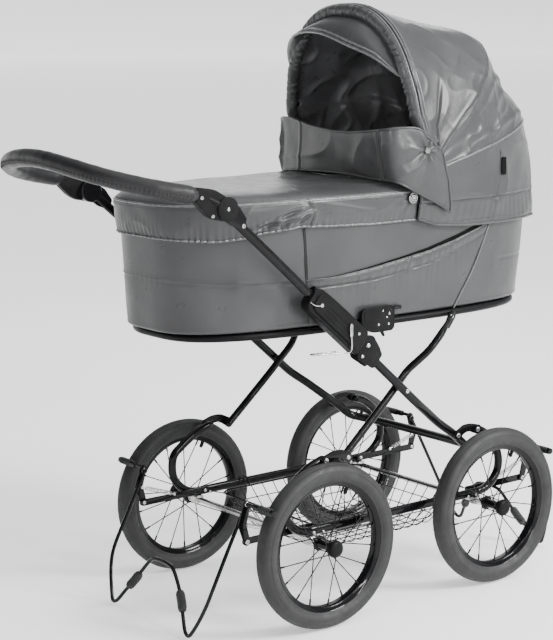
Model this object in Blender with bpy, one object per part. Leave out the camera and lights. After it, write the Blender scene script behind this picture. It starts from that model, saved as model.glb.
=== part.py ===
"""A classic pram: carrycot with apron and folding hood on a spring chassis that folds like scissors.

Metres, +Z up. +X points to the hood end, -X to the handle, and right is -Y.
Side profiles are drawn as (x, z) pairs in the plane of symmetry, and the distance
from that plane is given apart. All of it hangs on one empty, which sets the origin
on the ground below the middle of the whole object.
"""

import math

import bmesh
import bpy
from mathutils import Vector

# ---------------------------------------------------------------- dimensions
ORIGIN_X = 0.1257  # from mid-wheelbase to the middle of the object's length

WHEEL_R = 0.175
TYRE_W = 0.043
RIM_R = 0.1365
AXLE_X = 0.2394
AXLE_Z = 0.175
WHEEL_Y = 0.2596
WHEEL_FACETS = 32
SPOKES = 16

FRAME_Y = 0.2045  # side rails and springs
TUBE_R = 0.009
RAIL_Z = 0.1935
RAIL_HALF_H = 0.010
RAIL_HALF_W = 0.006

SPRING_TOP_REAR = (-0.205, 0.342)
SPRING_TOP_FRONT = (0.228, 0.342)
LINK_REAR = (-0.146, 0.339)
LINK_FRONT = (0.169, 0.337)
CROSS = (0.000, 0.468)
RING_PIN = (0.138, 0.610)
HUB = (-0.477, 0.890)

RING_Z = 0.614
RING_R = 0.0075
RING_PLAN = (-0.480, 0.425, 0.1815, 0.2285, 3.2, 3.4)

TUB_BOTTOM = 0.6235
TUB_TOP = 0.868
TUB_LOW = (-0.499, 0.441, 0.188, 0.225)
TUB_HIGH = (-0.511, 0.467, 0.202, 0.237)
TUB_WALL = 0.010
HEM_Z = 0.822

HOOD_PIVOT = (0.090, 0.970)
HOOD_FRONT_X = 0.045
HOOD_SPLIT = (0.360, 1.210)

HANDLE_TIP_X = -0.7456
SLEEVE_R = 0.018

BRAKE_PIN = (0.394, 0.198)
BRAKE_TOP = (0.393, 0.268)
BRAKE_PAD = (0.3925, 0.2768)
BRAKE_SPRING_PIN = (0.402, 0.235)

# unit vectors along the handle leg, up towards the handle, and square to it
LEG_U = Vector((-0.7466, 0.6652))
LEG_N = Vector((0.6652, 0.7466))
FOLD_PIN = (0.148, 0.013)  # along and off the leg, from the crossing


def leg(s, n):
    """(x, z) of a point given along the leg and square to it, from the crossing."""
    return (
        CROSS[0] + LEG_U[0] * s + LEG_N[0] * n,
        CROSS[1] + LEG_U[1] * s + LEG_N[1] * n,
    )


# ---------------------------------------------------------------- scene
for old in list(bpy.data.objects):
    bpy.data.objects.remove(old, do_unlink=True)

origin = bpy.data.objects.new("pram_origin", None)
origin.location = (ORIGIN_X, 0.0, 0.0)
bpy.context.scene.collection.objects.link(origin)


def finish(name, color, roughness, metallic=0.0):
    material = bpy.data.materials.new(name)
    material.use_nodes = True
    shader = material.node_tree.nodes["Principled BSDF"]
    shader.inputs["Base Color"].default_value = (*color, 1.0)
    shader.inputs["Roughness"].default_value = roughness
    shader.inputs["Metallic"].default_value = metallic
    material.diffuse_color = (*color, 1.0)
    return material


COAT = dict(color=(0.012, 0.012, 0.013), roughness=0.22, metallic=0.3)
ZINC = dict(color=(0.62, 0.62, 0.61), roughness=0.28, metallic=1.0)
RUBBER = dict(color=(0.022, 0.022, 0.023), roughness=0.62)
PLASTIC = dict(color=(0.018, 0.018, 0.019), roughness=0.42)
HIDE = dict(color=(0.105, 0.106, 0.108), roughness=0.36)
SLEEVE = dict(color=(0.024, 0.024, 0.025), roughness=0.45)
CLOTH = dict(color=(0.70, 0.70, 0.69), roughness=0.85)


def link(name, mesh, look, pivot=None):
    """A named object of its own material, with its origin on its pivot."""
    obj = bpy.data.objects.new(name, mesh)
    bpy.context.scene.collection.objects.link(obj)
    obj.parent = origin
    if pivot is not None:
        at = Vector(pivot)
        for vert in mesh.vertices:
            vert.co -= at
        obj.location = at
    if look is not None:
        mesh.materials.append(finish(name, **look))
    mesh.shade_smooth()
    mesh.set_sharp_from_angle(angle=math.radians(35))
    return obj


def guide(name, mesh):
    """A helper that a Boolean reads, and that isn't a piece."""
    obj = bpy.data.objects.new(name, mesh)
    bpy.context.scene.collection.objects.link(obj)
    obj.parent = origin
    obj.hide_render = True
    obj.display_type = "WIRE"
    return obj


def fuse(obj, *meshes, pivot=None, operation="UNION"):
    for k, mesh in enumerate(meshes):
        helper = guide(f"{obj.name}_helper_{k}", mesh)
        if pivot is not None:
            at = Vector(pivot)
            for vert in mesh.vertices:
                vert.co -= at
            helper.location = at
        modifier = obj.modifiers.new(f"fuse_{k}", "BOOLEAN")
        modifier.operation = operation
        modifier.solver = "EXACT"
        modifier.object = helper
    return obj


# ---------------------------------------------------------------- shapes
def curve_through(points, step):
    """Points about step apart on a smooth curve through the given ones."""
    pts = [Vector(p) for p in points]
    out = []
    for i in range(len(pts) - 1):
        p0 = pts[i - 1] if i else pts[0] * 2 - pts[1]
        p1, p2 = pts[i], pts[i + 1]
        p3 = pts[i + 2] if i + 2 < len(pts) else pts[-1] * 2 - pts[-2]
        # centripetal knots keep the curve from overshooting at close points
        t1 = max((p1 - p0).length, 1e-6) ** 0.5
        t2 = t1 + max((p2 - p1).length, 1e-6) ** 0.5
        t3 = t2 + max((p3 - p2).length, 1e-6) ** 0.5
        count = max(1, round((p2 - p1).length / step))
        for k in range(count):
            t = t1 + (t2 - t1) * k / count
            a1 = p0 * ((t1 - t) / t1) + p1 * (t / t1)
            a2 = p1 * ((t2 - t) / (t2 - t1)) + p2 * ((t - t1) / (t2 - t1))
            a3 = p2 * ((t3 - t) / (t3 - t2)) + p3 * ((t - t2) / (t3 - t2))
            b1 = a1 * ((t2 - t) / t2) + a2 * (t / t2)
            b2 = a2 * ((t3 - t) / (t3 - t1)) + a3 * ((t - t1) / (t3 - t1))
            out.append(b1 * ((t2 - t) / (t2 - t1)) + b2 * ((t - t1) / (t2 - t1)))
    out.append(pts[-1])
    return out


def tube_mesh(points, radius, sides=8, closed=False, radii=None):
    """A round bar swept along the points, with flat ends."""
    pts = [Vector(p) for p in points]
    count = len(pts)
    tangents = []
    for i in range(count):
        if closed:
            t = pts[(i + 1) % count] - pts[i - 1]
        else:
            t = pts[min(i + 1, count - 1)] - pts[max(i - 1, 0)]
        tangents.append(t.normalized())
    normal = tangents[0].cross(Vector((0, 1, 0)))
    if normal.length < 0.2:
        normal = tangents[0].cross(Vector((0, 0, 1)))
    normal.normalize()
    bm = bmesh.new()
    rings = []
    for i in range(count):
        if closed:
            side = tangents[i].cross(Vector((0, 0, 1))).normalized()
            normal = side.cross(tangents[i]).normalized()
        else:
            normal = (normal - tangents[i] * normal.dot(tangents[i])).normalized()
        side = tangents[i].cross(normal)
        r = radii[i] if radii else radius
        ring = []
        for k in range(sides):
            a = 2 * math.pi * (k + 0.5) / sides
            ring.append(bm.verts.new(pts[i] + (normal * math.cos(a) + side * math.sin(a)) * r))
        rings.append(ring)
    spans = count if closed else count - 1
    for i in range(spans):
        a, b = rings[i], rings[(i + 1) % count]
        for k in range(sides):
            bm.faces.new((a[k], a[(k + 1) % sides], b[(k + 1) % sides], b[k]))
    if not closed:
        bm.faces.new(list(reversed(rings[0])))
        bm.faces.new(rings[-1])
    bmesh.ops.recalc_face_normals(bm, faces=bm.faces)
    mesh = bpy.data.meshes.new("bar")
    bm.to_mesh(mesh)
    bm.free()
    return mesh


def side_path(side, rows):
    """(x, z, distance from the middle) rows as points on one side."""
    return [(x, side * y, z) for x, z, y in rows]


def prism(outline, low, high):
    """An (x, z) outline extruded along Y from low to high."""
    bm = bmesh.new()
    face = bm.faces.new([bm.verts.new((x, low, z)) for x, z in outline])
    made = bmesh.ops.extrude_face_region(bm, geom=[face])
    moved = [g for g in made["geom"] if isinstance(g, bmesh.types.BMVert)]
    bmesh.ops.translate(bm, vec=(0, high - low, 0), verts=moved)
    bmesh.ops.recalc_face_normals(bm, faces=bm.faces)
    mesh = bpy.data.meshes.new("plate")
    bm.to_mesh(mesh)
    bm.free()
    return mesh


def plate(side, outline, near, far):
    """A plate lying between two distances from the middle, on one side."""
    low, high = sorted((side * near, side * far))
    return prism(outline, low, high)


def disc(center, radius, low, high, count=20):
    x, z = center
    return prism(
        [
            (x + radius * math.cos(2 * math.pi * k / count), z + radius * math.sin(2 * math.pi * k / count))
            for k in range(count)
        ],
        low,
        high,
    )


def turned(center, side, profile, count, bore=True):
    """A ring turned about the wheel's axis: a closed profile of (radius, distance)."""
    x, z = center
    bm = bmesh.new()
    rings = []
    for k in range(count):
        a = 2 * math.pi * (k + 0.5) / count
        rings.append(
            [bm.verts.new((x + r * math.sin(a), side * y, z + r * math.cos(a))) for r, y in profile]
        )
    for k in range(count):
        a, b = rings[k], rings[(k + 1) % count]
        m = len(profile)
        for j in range(m):
            bm.faces.new((a[j], a[(j + 1) % m], b[(j + 1) % m], b[j]))
    bmesh.ops.recalc_face_normals(bm, faces=bm.faces)
    mesh = bpy.data.meshes.new("turned")
    bm.to_mesh(mesh)
    bm.free()
    return mesh


def egg(rear_x, front_x, rear_half, front_half, rear_n=3.2, front_n=3.6, count=48):
    """A closed boat-shaped outline, wider towards its front end."""
    middle = (rear_x + front_x) / 2
    out = []
    for k in range(count):
        a = 2 * math.pi * k / count
        c, s = math.cos(a), math.sin(a)
        n = front_n if c >= 0 else rear_n
        reach = front_x - middle if c >= 0 else middle - rear_x
        x = middle + reach * math.copysign(abs(c) ** (2 / n), c)
        half = rear_half + (front_half - rear_half) * (x - rear_x) / (front_x - rear_x)
        out.append((x, half * math.copysign(abs(s) ** (2 / n), s)))
    return out


def tub_plan(z, grow=0.0, count=48):
    """The carrycot's outline at a height, grown outwards."""
    t = (z - TUB_BOTTOM) / (TUB_TOP - TUB_BOTTOM)
    low, high = TUB_LOW, TUB_HIGH
    v = [low[i] + (high[i] - low[i]) * t for i in range(4)]
    return egg(v[0] - grow, v[1] + grow, v[2] + grow, v[3] + grow, count=count)


def stack(levels):
    """A closed solid through outlines stacked in order, capped at both ends."""
    bm = bmesh.new()
    rings = [[bm.verts.new((x, y, z)) for x, y in outline] for outline, z in levels]
    count = len(rings[0])
    for a, b in zip(rings, rings[1:]):
        for k in range(count):
            bm.faces.new((a[k], a[(k + 1) % count], b[(k + 1) % count], b[k]))
    bm.faces.new(list(reversed(rings[0])))
    bm.faces.new(rings[-1])
    bmesh.ops.recalc_face_normals(bm, faces=bm.faces)
    mesh = bpy.data.meshes.new("stack")
    bm.to_mesh(mesh)
    bm.free()
    return mesh


def skin(rows, cuts=()):
    """An open sheet through rows of points, cut by planes of (point, normal kept side)."""
    bm = bmesh.new()
    grid = [[bm.verts.new(p) for p in row] for row in rows]
    for a, b in zip(grid, grid[1:]):
        for k in range(len(a) - 1):
            bm.faces.new((a[k], a[k + 1], b[k + 1], b[k]))
    bmesh.ops.remove_doubles(bm, verts=bm.verts, dist=1e-5)
    for point, keep in cuts:
        bmesh.ops.bisect_plane(
            bm,
            geom=bm.verts[:] + bm.edges[:] + bm.faces[:],
            plane_co=point,
            plane_no=keep,
            dist=1e-6,
            clear_inner=True,
        )
    mesh = bpy.data.meshes.new("skin")
    bm.to_mesh(mesh)
    bm.free()
    return mesh


def thicken(obj, thickness):
    modifier = obj.modifiers.new("thickness", "SOLIDIFY")
    modifier.thickness = thickness
    modifier.offset = -1.0
    modifier.use_rim = True
    return obj


SIDES = (("right", -1), ("left", 1))
ENDS = (("rear", -1), ("front", 1))

# ---------------------------------------------------------------- chassis
REAR_SPRING = [
    SPRING_TOP_REAR, (-0.237, 0.331), (-0.257, 0.3195), (-0.282, 0.303), (-0.301, 0.287),
    (-0.307, 0.261), (-0.303, 0.235), (-0.287, 0.213), (-0.265, 0.1985), (-0.2402, 0.1940),
]
FRONT_SPRING = [
    SPRING_TOP_FRONT, (0.250, 0.334), (0.272, 0.320), (0.290, 0.302), (0.301, 0.280),
    (0.3065, 0.256), (0.302, 0.232), (0.287, 0.213), (0.265, 0.1985), (0.2402, 0.1940),
]

for where, side in SIDES:
    half = 0.2380
    low, high = RAIL_Z - RAIL_HALF_H, RAIL_Z + RAIL_HALF_H
    c = 0.003
    rail = plate(
        side,
        [(-half, low), (half, low), (half, high), (-half, high)],
        FRAME_Y - RAIL_HALF_W,
        FRAME_Y + RAIL_HALF_W,
    )
    obj = link(f"{where}_side_rail", rail, COAT)
    bevel = obj.modifiers.new("round", "BEVEL")
    bevel.width = c
    bevel.segments = 1
    for end, path in (("rear", REAR_SPRING), ("front", FRONT_SPRING)):
        points = curve_through(side_path(side, [(x, z, FRAME_Y) for x, z in path]), 0.024)
        link(f"{end}_{where}_c_spring", tube_mesh(points, TUBE_R, 8), COAT)

for end, sign in ENDS:
    x = sign * AXLE_X
    bar = tube_mesh([(x, -0.280, AXLE_Z), (x, 0.280, AXLE_Z)], 0.006, 12)
    axle = link(f"{end}_axle", bar, ZINC)
    saddles = []
    for _, side in SIDES:
        saddles.append(
            plate(side, [(x - 0.011, 0.167), (x + 0.011, 0.167), (x + 0.009, 0.1832), (x - 0.009, 0.1832)], 0.1975, 0.2115)
        )
    fuse(axle, *saddles)

# wire basket, as the shape that its mesh of wires fills
basket_low = [(-0.150, -0.130), (0.160, -0.130), (0.160, 0.130), (-0.150, 0.130)]
basket_high = [(-0.196, -0.183), (0.204, -0.183), (0.204, 0.183), (-0.196, 0.183)]


def inset(outline, by):
    return [(x - math.copysign(by, x), y - math.copysign(by, y)) for x, y in outline]


link(
    "wire_basket",
    stack(
        [
            (basket_low, 0.112),
            (basket_high, 0.190),
            (inset(basket_high, 0.0035), 0.190),
            (inset(basket_low, 0.0035), 0.1155),
        ]
    ),
    COAT,
)

# brakes: an arm out from the rail, a link standing on it with the pad, a spring, and the foot loop
for end, sign in ENDS:
    top = (sign * BRAKE_TOP[0], BRAKE_TOP[1])
    pin = (sign * BRAKE_PIN[0], BRAKE_PIN[1])
    for where, side in SIDES:
        x0, x1 = sign * 0.221, sign * (BRAKE_PIN[0] + 0.007)
        link(
            f"{end}_{where}_brake_arm",
            plate(side, [(x0, 0.191), (x1 - sign * 0.004, 0.191), (x1, 0.195), (x1, 0.201), (x1 - sign * 0.004, 0.205), (x0, 0.205)], 0.1870, 0.1900),
            COAT,
        )
        outline = []
        for cx, cz, r, a0, a1 in (
            (BRAKE_PIN[0], BRAKE_PIN[1], 0.008, 180, 360),
            (BRAKE_SPRING_PIN[0] + 0.004, BRAKE_SPRING_PIN[1], 0.006, -20, 20),
            (BRAKE_PAD[0], BRAKE_PAD[1] - 0.003, 0.009, 0, 180),
            (BRAKE_SPRING_PIN[0] - 0.004, BRAKE_SPRING_PIN[1], 0.006, 160, 200),
        ):
            for k in range(5):
                a = math.radians(a0 + (a1 - a0) * k / 4)
                outline.append((sign * (cx + r * math.cos(a)), cz + r * math.sin(a)))
        pivot = (pin[0], 0.0, pin[1])
        piece = link(f"{end}_{where}_brake_link", plate(side, outline, 0.1905, 0.1938), COAT, pivot)
        px, pz = sign * BRAKE_PAD[0], BRAKE_PAD[1]
        rod = tube_mesh(
            [(px, side * y, pz) for y in (0.1920, 0.2190, 0.2190001, 0.2850)],
            0.007,
            10,
            radii=[0.0042, 0.0042, 0.0070, 0.0070],
        )
        fuse(piece, rod, pivot=pivot)
        spring = tube_mesh(
            [(sign * 0.400, side * 0.1810, 0.2345), (sign * 0.318, side * 0.1810, 0.2060)], 0.0048, 8
        )
        link(f"{end}_{where}_brake_spring", spring, ZINC)
    half_loop = [
        (0.3930, 0.2680, 0.1862), (0.4350, 0.1900, 0.1862), (0.4780, 0.1080, 0.1862),
        (0.4900, 0.0740, 0.1790), (0.5030, 0.0280, 0.1580), (0.5090, 0.0095, 0.1440),
        (0.5080, 0.0120, 0.1320), (0.4990, 0.0370, 0.1110), (0.4870, 0.0655, 0.0885),
        (0.4790, 0.0960, 0.0640), (0.4750, 0.1170, 0.0440), (0.4740, 0.1240, 0.0300),
    ]
    rows = [(sign * x, -y, z) for x, z, y in half_loop] + [
        (sign * x, y, z) for x, z, y in reversed(half_loop)
    ]
    points = curve_through(rows, 0.0200)
    radii = []
    for p in points:
        near = min(
            (p - Vector((sign * 0.487, s * 0.0885, 0.0655))).length for s in (-1, 1)
        )
        radii.append(0.0075 if near < 0.0150 else 0.0034)
    link(f"{end}_brake_loop", tube_mesh(points, 0.0034, 6, radii=radii), COAT, (top[0], 0.0, top[1]))

# ---------------------------------------------------------------- wheels
TYRE = [
    (0.1368, -0.0130), (0.1540, -0.0215), (0.1660, -0.0175), (WHEEL_R, -0.0065),
    (WHEEL_R, 0.0065), (0.1660, 0.0175), (0.1540, 0.0215), (0.1368, 0.0130),
]
RIM = [(0.1270, -0.0095), (0.1364, -0.0120), (0.1364, 0.0120), (0.1270, 0.0095)]


def spider(x, z, y, thick):
    """Flat spokes between hub and rim, fused into one star with a hole for the axle."""
    bm = bmesh.new()
    hub_r, rim_r, half = 0.0120, 0.1300, 0.0013
    loops = {-1: [], 1: []}
    for face in (-1, 1):
        for k in range(SPOKES):
            a = 2 * math.pi * k / SPOKES
            for r, d in ((hub_r, -1), (rim_r, -1), (rim_r, 1), (hub_r, 1)):
                w = d * half / r
                loops[face].append(
                    bm.verts.new((x + r * math.sin(a + w), y + face * thick / 2, z + r * math.cos(a + w)))
                )
        bore = [
            bm.verts.new((x + 0.0080 * math.sin(math.pi * j / SPOKES), y + face * thick / 2, z + 0.0080 * math.cos(math.pi * j / SPOKES)))
            for j in range(2 * SPOKES)
        ]
        loops[face] = (loops[face], bore)
    for face in (-1, 1):
        outer, bore = loops[face]
        for k in range(SPOKES):
            a, b, c, d = outer[4 * k : 4 * k + 4]
            n = outer[(4 * k + 4) % (4 * SPOKES)]
            b0, b1, b2 = bore[2 * k], bore[(2 * k + 1) % (2 * SPOKES)], bore[(2 * k + 2) % (2 * SPOKES)]
            bm.faces.new((a, b, c, d))
            bm.faces.new((a, d, b1, b0))
            bm.faces.new((d, n, b2, b1))
    (o0, i0), (o1, i1) = loops[-1], loops[1]
    for ring0, ring1 in ((o0, o1), (i0, i1)):
        m = len(ring0)
        for k in range(m):
            bm.faces.new((ring0[k], ring0[(k + 1) % m], ring1[(k + 1) % m], ring1[k]))
    bmesh.ops.recalc_face_normals(bm, faces=bm.faces)
    mesh = bpy.data.meshes.new("spider")
    bm.to_mesh(mesh)
    bm.free()
    return mesh


for end, sign in ENDS:
    for where, side in SIDES:
        x = sign * AXLE_X
        pivot = (x, side * WHEEL_Y, AXLE_Z)
        tyre = turned((x, AXLE_Z), side, [(r / math.cos(math.pi / WHEEL_FACETS) if r == WHEEL_R else r, WHEEL_Y + y) for r, y in TYRE], WHEEL_FACETS)
        link(f"{end}_{where}_tyre", tyre, RUBBER, pivot)
        rim = turned((x, AXLE_Z), side, [(r * 0.9999, WHEEL_Y + y) for r, y in RIM], WHEEL_FACETS)
        obj = link(f"{end}_{where}_wheel", rim, COAT, pivot)
        hub = turned(
            (x, AXLE_Z),
            side,
            [(0.0066, 0.2325), (0.0160, 0.2325), (0.0160, 0.2830), (0.0200, 0.2840), (0.0200, 0.2930), (0.0160, 0.2970), (0.0020, 0.2970), (0.0020, 0.2815), (0.0066, 0.2815)],
            12,
        )
        fuse(obj, spider(x, AXLE_Z, side * WHEEL_Y, 0.0030), hub, pivot=pivot)

# ---------------------------------------------------------------- folding frame
for end, (c, j) in (("rear", (SPRING_TOP_REAR, LINK_REAR)), ("front", (SPRING_TOP_FRONT, LINK_FRONT))):
    outline = []
    ends = sorted((c, j))
    for (cx, cz), a0, a1 in ((ends[1], -90, 60), (ends[0], 120, 270)):
        for k in range(6):
            a = math.radians(a0 + (a1 - a0) * k / 5)
            outline.append((cx + 0.0105 * math.cos(a), cz + 0.0105 * math.sin(a)))
        if cx == ends[1][0]:
            mid = (ends[0][0] + ends[1][0]) / 2
            outline += [(mid + 0.016, cz + 0.016), (mid, cz + 0.018), (mid - 0.016, cz + 0.017)]
    mid = (ends[0][0] + ends[1][0]) / 2
    outline += [(mid - 0.014, cz - 0.003), (mid + 0.014, cz - 0.003)]
    for where, side in SIDES:
        link(f"{end}_{where}_link", plate(side, outline, 0.2150, 0.2190), COAT, (c[0], 0.0, c[1]))

for where, side in SIDES:
    rows = [
        (-0.1505, 0.3348, 0.2045), (-0.1460, 0.3390, 0.2045), (-0.0280, 0.4420, 0.2035),
        (0.0000, 0.4680, 0.2035), (0.0330, 0.4990, 0.2035), (0.0550, 0.5200, 0.2140),
        (0.0760, 0.5400, 0.2235), (0.1080, 0.5740, 0.2285), (0.1300, 0.6000, 0.2278), (0.1420, 0.6145, 0.2275),
    ]
    points = curve_through(side_path(side, rows), 0.030)
    radii = []
    for p in points:
        near = (Vector((p.x, p.z)) - Vector(RING_PIN)).length
        radii.append(0.0040 + 0.0040 * min(1.0, max(0.0, (near - 0.012) / 0.05)))
    link(f"{where}_scissor_tube", tube_mesh(points, 0.008, 8, radii=radii), COAT, (LINK_REAR[0], 0.0, LINK_REAR[1]))

top = leg(0.136, 0.0)
half_frame = [
    (top[0], top[1], 0.2225), (*leg(0.060, 0.0), 0.2222), (CROSS[0], CROSS[1], 0.2220), (*leg(-0.055, 0.0), 0.2215),
    (0.0820, 0.4010, 0.2120), (0.1200, 0.3720, 0.2045), (0.1690, 0.3370, 0.2045), (0.2070, 0.3060, 0.2000),
    (0.2290, 0.2980, 0.1850), (0.2420, 0.2950, 0.1550), (0.2500, 0.2930, 0.0900), (0.2540, 0.2920, 0.0300),
]
rows = side_path(-1, half_frame) + side_path(1, list(reversed(half_frame)))
link("lower_handle_frame", tube_mesh(curve_through(rows, 0.045), TUBE_R, 8), COAT, (CROSS[0], 0.0, CROSS[1]))


def arc(center, radius, a0, a1, count):
    """Points on an arc in leg coordinates, as (x, z)."""
    return [
        leg(
            center[0] + radius * math.cos(math.radians(a0 + (a1 - a0) * k / count)),
            center[1] + radius * math.sin(math.radians(a0 + (a1 - a0) * k / count)),
        )
        for k in range(count + 1)
    ]


for where, side in SIDES:
    # two ears with the tube's end held between them, carrying the handle's fold pin
    ears = [leg(0.104, -0.013), leg(0.112, -0.020)] + arc((0.148, -0.0125), 0.0130, -90, 0, 3)
    ears += arc(FOLD_PIN, 0.0205, -25, 90, 5) + [leg(0.118, 0.0240), leg(0.104, 0.0130)]
    pivot = (CROSS[0], 0.0, CROSS[1])
    piece = link(f"{where}_lock_bracket", plate(side, ears, 0.2325, 0.2365), PLASTIC, pivot)
    webs = [
        plate(side, ears, 0.2075, 0.2117),
        plate(side, [leg(0.1045, 0.0096), leg(0.1045, 0.0128), leg(0.1330, 0.0128), leg(0.1330, 0.0096)], 0.2080, 0.2360),
        plate(side, [leg(0.1045, -0.0128), leg(0.1045, -0.0096), leg(0.1330, -0.0096), leg(0.1330, -0.0128)], 0.2080, 0.2360),
    ]
    fuse(piece, *webs, pivot=pivot)

    # the lock's housing on the handle, with a knuckle between the ears
    px, pz = leg(*FOLD_PIN)
    pivot = (px, 0.0, pz)
    body = [
        leg(0.1725, -0.024), leg(0.180, -0.029), leg(0.325, -0.030), leg(0.3495, -0.014),
        leg(0.3495, 0.014), leg(0.300, 0.027), leg(0.190, 0.028), leg(0.1725, 0.022),
    ]
    piece = link(f"{where}_lock_housing", plate(side, body, 0.2205, 0.2525), PLASTIC, pivot)
    knuckle = arc(FOLD_PIN, 0.0098, 90, 270, 7) + [leg(0.178, 0.0040), leg(0.178, 0.0220)]
    fuse(piece, plate(side, knuckle, 0.2150, 0.2290), pivot=pivot)

    bail = [
        (-0.1665, 0.6300, 0.2548), (-0.1655, 0.6000, 0.2548), (-0.1650, 0.5790, 0.2548), (-0.1690, 0.5710, 0.2535),
        (-0.1860, 0.5710, 0.2490), (-0.2400, 0.5740, 0.2450), (-0.2560, 0.5745, 0.2390), (-0.2540, 0.5740, 0.2300),
        (-0.2350, 0.5725, 0.2270), (-0.1850, 0.5705, 0.2270),
    ]
    link(
        f"{where}_lock_bail",
        tube_mesh(curve_through(side_path(side, bail), 0.011), 0.0016, 6),
        ZINC,
        (-0.1665, 0.0, 0.6270),
    )

    rows = [(*leg(0.3500, 0.0), 0.2365), (*leg(0.480, 0.0), 0.2385), (*leg(0.637, -0.002), 0.2400)]
    piece = link(f"{where}_upper_handle_tube", tube_mesh(curve_through(side_path(side, rows), 0.07), 0.0080, 10), COAT, pivot)
    low, high = sorted((side * 0.2315, side * 0.2488))
    fuse(piece, disc(HUB, 0.0245, low, high, 20), pivot=pivot)

# the push bar: an arm from each hub and a bow between them, thicker where it is sleeved
rows = [(HUB[0], -0.2575, HUB[1]), (-0.503, -0.2565, 0.9040), (-0.5290, -0.2520, 0.9170)]
steps = 22
for k in range(1, steps):
    a = -math.pi / 2 + math.pi * k / steps
    c = abs(math.cos(a)) ** (2 / 2.67)
    s = math.copysign(abs(math.sin(a)) ** (2 / 2.67), math.sin(a))
    x = -0.529 + (HANDLE_TIP_X + 0.529) * c
    z = 0.917 + 0.0504 * c - 0.0305 * c * c + 0.052 * (1 - s * s)
    rows.append((x, (0.252 - 0.0205 * c) * s, z))
rows += [(-0.5290, 0.2520, 0.9170), (-0.503, 0.2565, 0.9040), (HUB[0], 0.2575, HUB[1])]
points = curve_through(rows, 0.032)
radii = []
for p in points:
    near = (Vector((p.x, p.z)) - Vector(HUB)).length
    radii.append(0.0078 if near < 0.036 else (0.0125 if near < 0.052 else SLEEVE_R))
pivot = (HUB[0], 0.0, HUB[1])
bar = link("push_bar", tube_mesh(points, SLEEVE_R, 8, radii=radii), SLEEVE, pivot)
fuse(bar, *[disc(HUB, 0.0240, *sorted((side * 0.2494, side * 0.2660)), 20) for _, side in SIDES], pivot=pivot)

# ---------------------------------------------------------------- support ring
ring = egg(*RING_PLAN, count=44)
link(
    "carrycot_ring",
    tube_mesh([(x, y, RING_Z) for x, y in ring], RING_R, 6, closed=True),
    COAT,
    (RING_PIN[0], 0.0, RING_PIN[1]),
)
for where, side in SIDES:
    block = [
        (-0.1080, 0.6240), (-0.0850, 0.5970), (-0.0720, 0.5950), (-0.0240, 0.5950), (-0.0190, 0.6000),
        (-0.0190, 0.6460), (-0.0240, 0.6500), (-0.1000, 0.6500), (-0.1080, 0.6430),
    ]
    link(f"{where}_adapter", plate(side, block, 0.2140, 0.2200), PLASTIC, (RING_PIN[0], 0.0, RING_PIN[1]))
    lever = [
        (-0.0184, 0.6424), (-0.0145, 0.6390), (-0.0030, 0.6400), (0.0010, 0.6430), (-0.0030, 0.6460),
        (-0.0145, 0.6470), (-0.0184, 0.6436),
    ]
    link(f"{where}_adapter_lever", plate(side, lever, 0.2150, 0.2190), PLASTIC, (-0.0184, 0.0, 0.6430))

# ---------------------------------------------------------------- carrycot
link(
    "carrycot_tub",
    stack(
        [
            (tub_plan(TUB_BOTTOM, -0.008), TUB_BOTTOM),
            (tub_plan(TUB_BOTTOM + 0.010), TUB_BOTTOM + 0.010),
            (tub_plan(TUB_TOP), TUB_TOP),
            (tub_plan(TUB_TOP, -TUB_WALL), TUB_TOP),
            (tub_plan(TUB_BOTTOM + 0.010, -TUB_WALL), TUB_BOTTOM + 0.010),
        ]
    ),
    HIDE,
)
link(
    "mattress",
    stack(
        [
            (tub_plan(0.640, -0.024, 32), 0.6345),
            (tub_plan(0.640, -0.016, 32), 0.6430),
            (tub_plan(0.640, -0.016, 32), 0.6570),
            (tub_plan(0.640, -0.026, 32), 0.6650),
        ]
    ),
    CLOTH,
)

# the apron: a skirt round the foot end, and a crowned top that closes it
APRON_END = -0.022


def apron_rows():
    half = [p for p in tub_plan(0.868, 0.0075, 56) if p[0] < 0.03]
    start = min(range(len(half)), key=lambda i: (half[i][1] < 0, i))
    loop = half  # runs from the left side round the rear end to the right side
    rows = []
    for x, y in loop:
        low = [v for v in (x, y)]
        k = (HEM_Z - TUB_TOP) / 2.6
        row = [(low[0] - k * 0.10, low[1] * (1 + k * 0.20), HEM_Z), (x, y, 0.887)]
        spine = min(max(x, -0.36), APRON_END - 0.0)
        for t, rise in ((0.960, 0.0110), (0.78, 0.0170), (0.40, 0.0220), (0.0, 0.0235)):
            row.append((spine + (x - spine) * t, y * t, 0.887 + rise))
        rows.append(row)
    return rows


apron = link("apron", skin(apron_rows(), cuts=[((APRON_END, 0, 0), (-1, 0, 0))]), HIDE)
thicken(apron, 0.005)

# wind panel standing across the opening
rows = []
for k in range(9):
    y = -0.196 + 0.392 * k / 8
    bow = 0.010 * (y / 0.196) ** 2
    rows.append([(-0.014 + bow, y, 0.9230), (-0.016 + bow, y, 0.9700), (-0.018 + bow, y, 1.0300)])
panel = link("wind_panel", skin(rows), HIDE, (-0.010, 0.0, 0.9210))
thicken(panel, 0.005)


def hood_top(x):
    """Height of the hood's ridge above the ground, along its length."""
    stops = [
        (0.030, 1.277), (0.060, 1.273), (0.120, 1.259), (0.190, 1.243), (0.260, 1.230), (0.305, 1.217),
        (0.341, 1.197), (0.367, 1.165), (0.390, 1.131), (0.416, 1.099), (0.440, 1.065), (0.460, 1.020),
        (0.474, 0.945), (0.482, 0.880),
    ]
    for (x0, z0), (x1, z1) in zip(stops, stops[1:]):
        if x <= x1:
            return z0 + (z1 - z0) * (x - x0) / (x1 - x0)
    return stops[-1][1]


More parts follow.
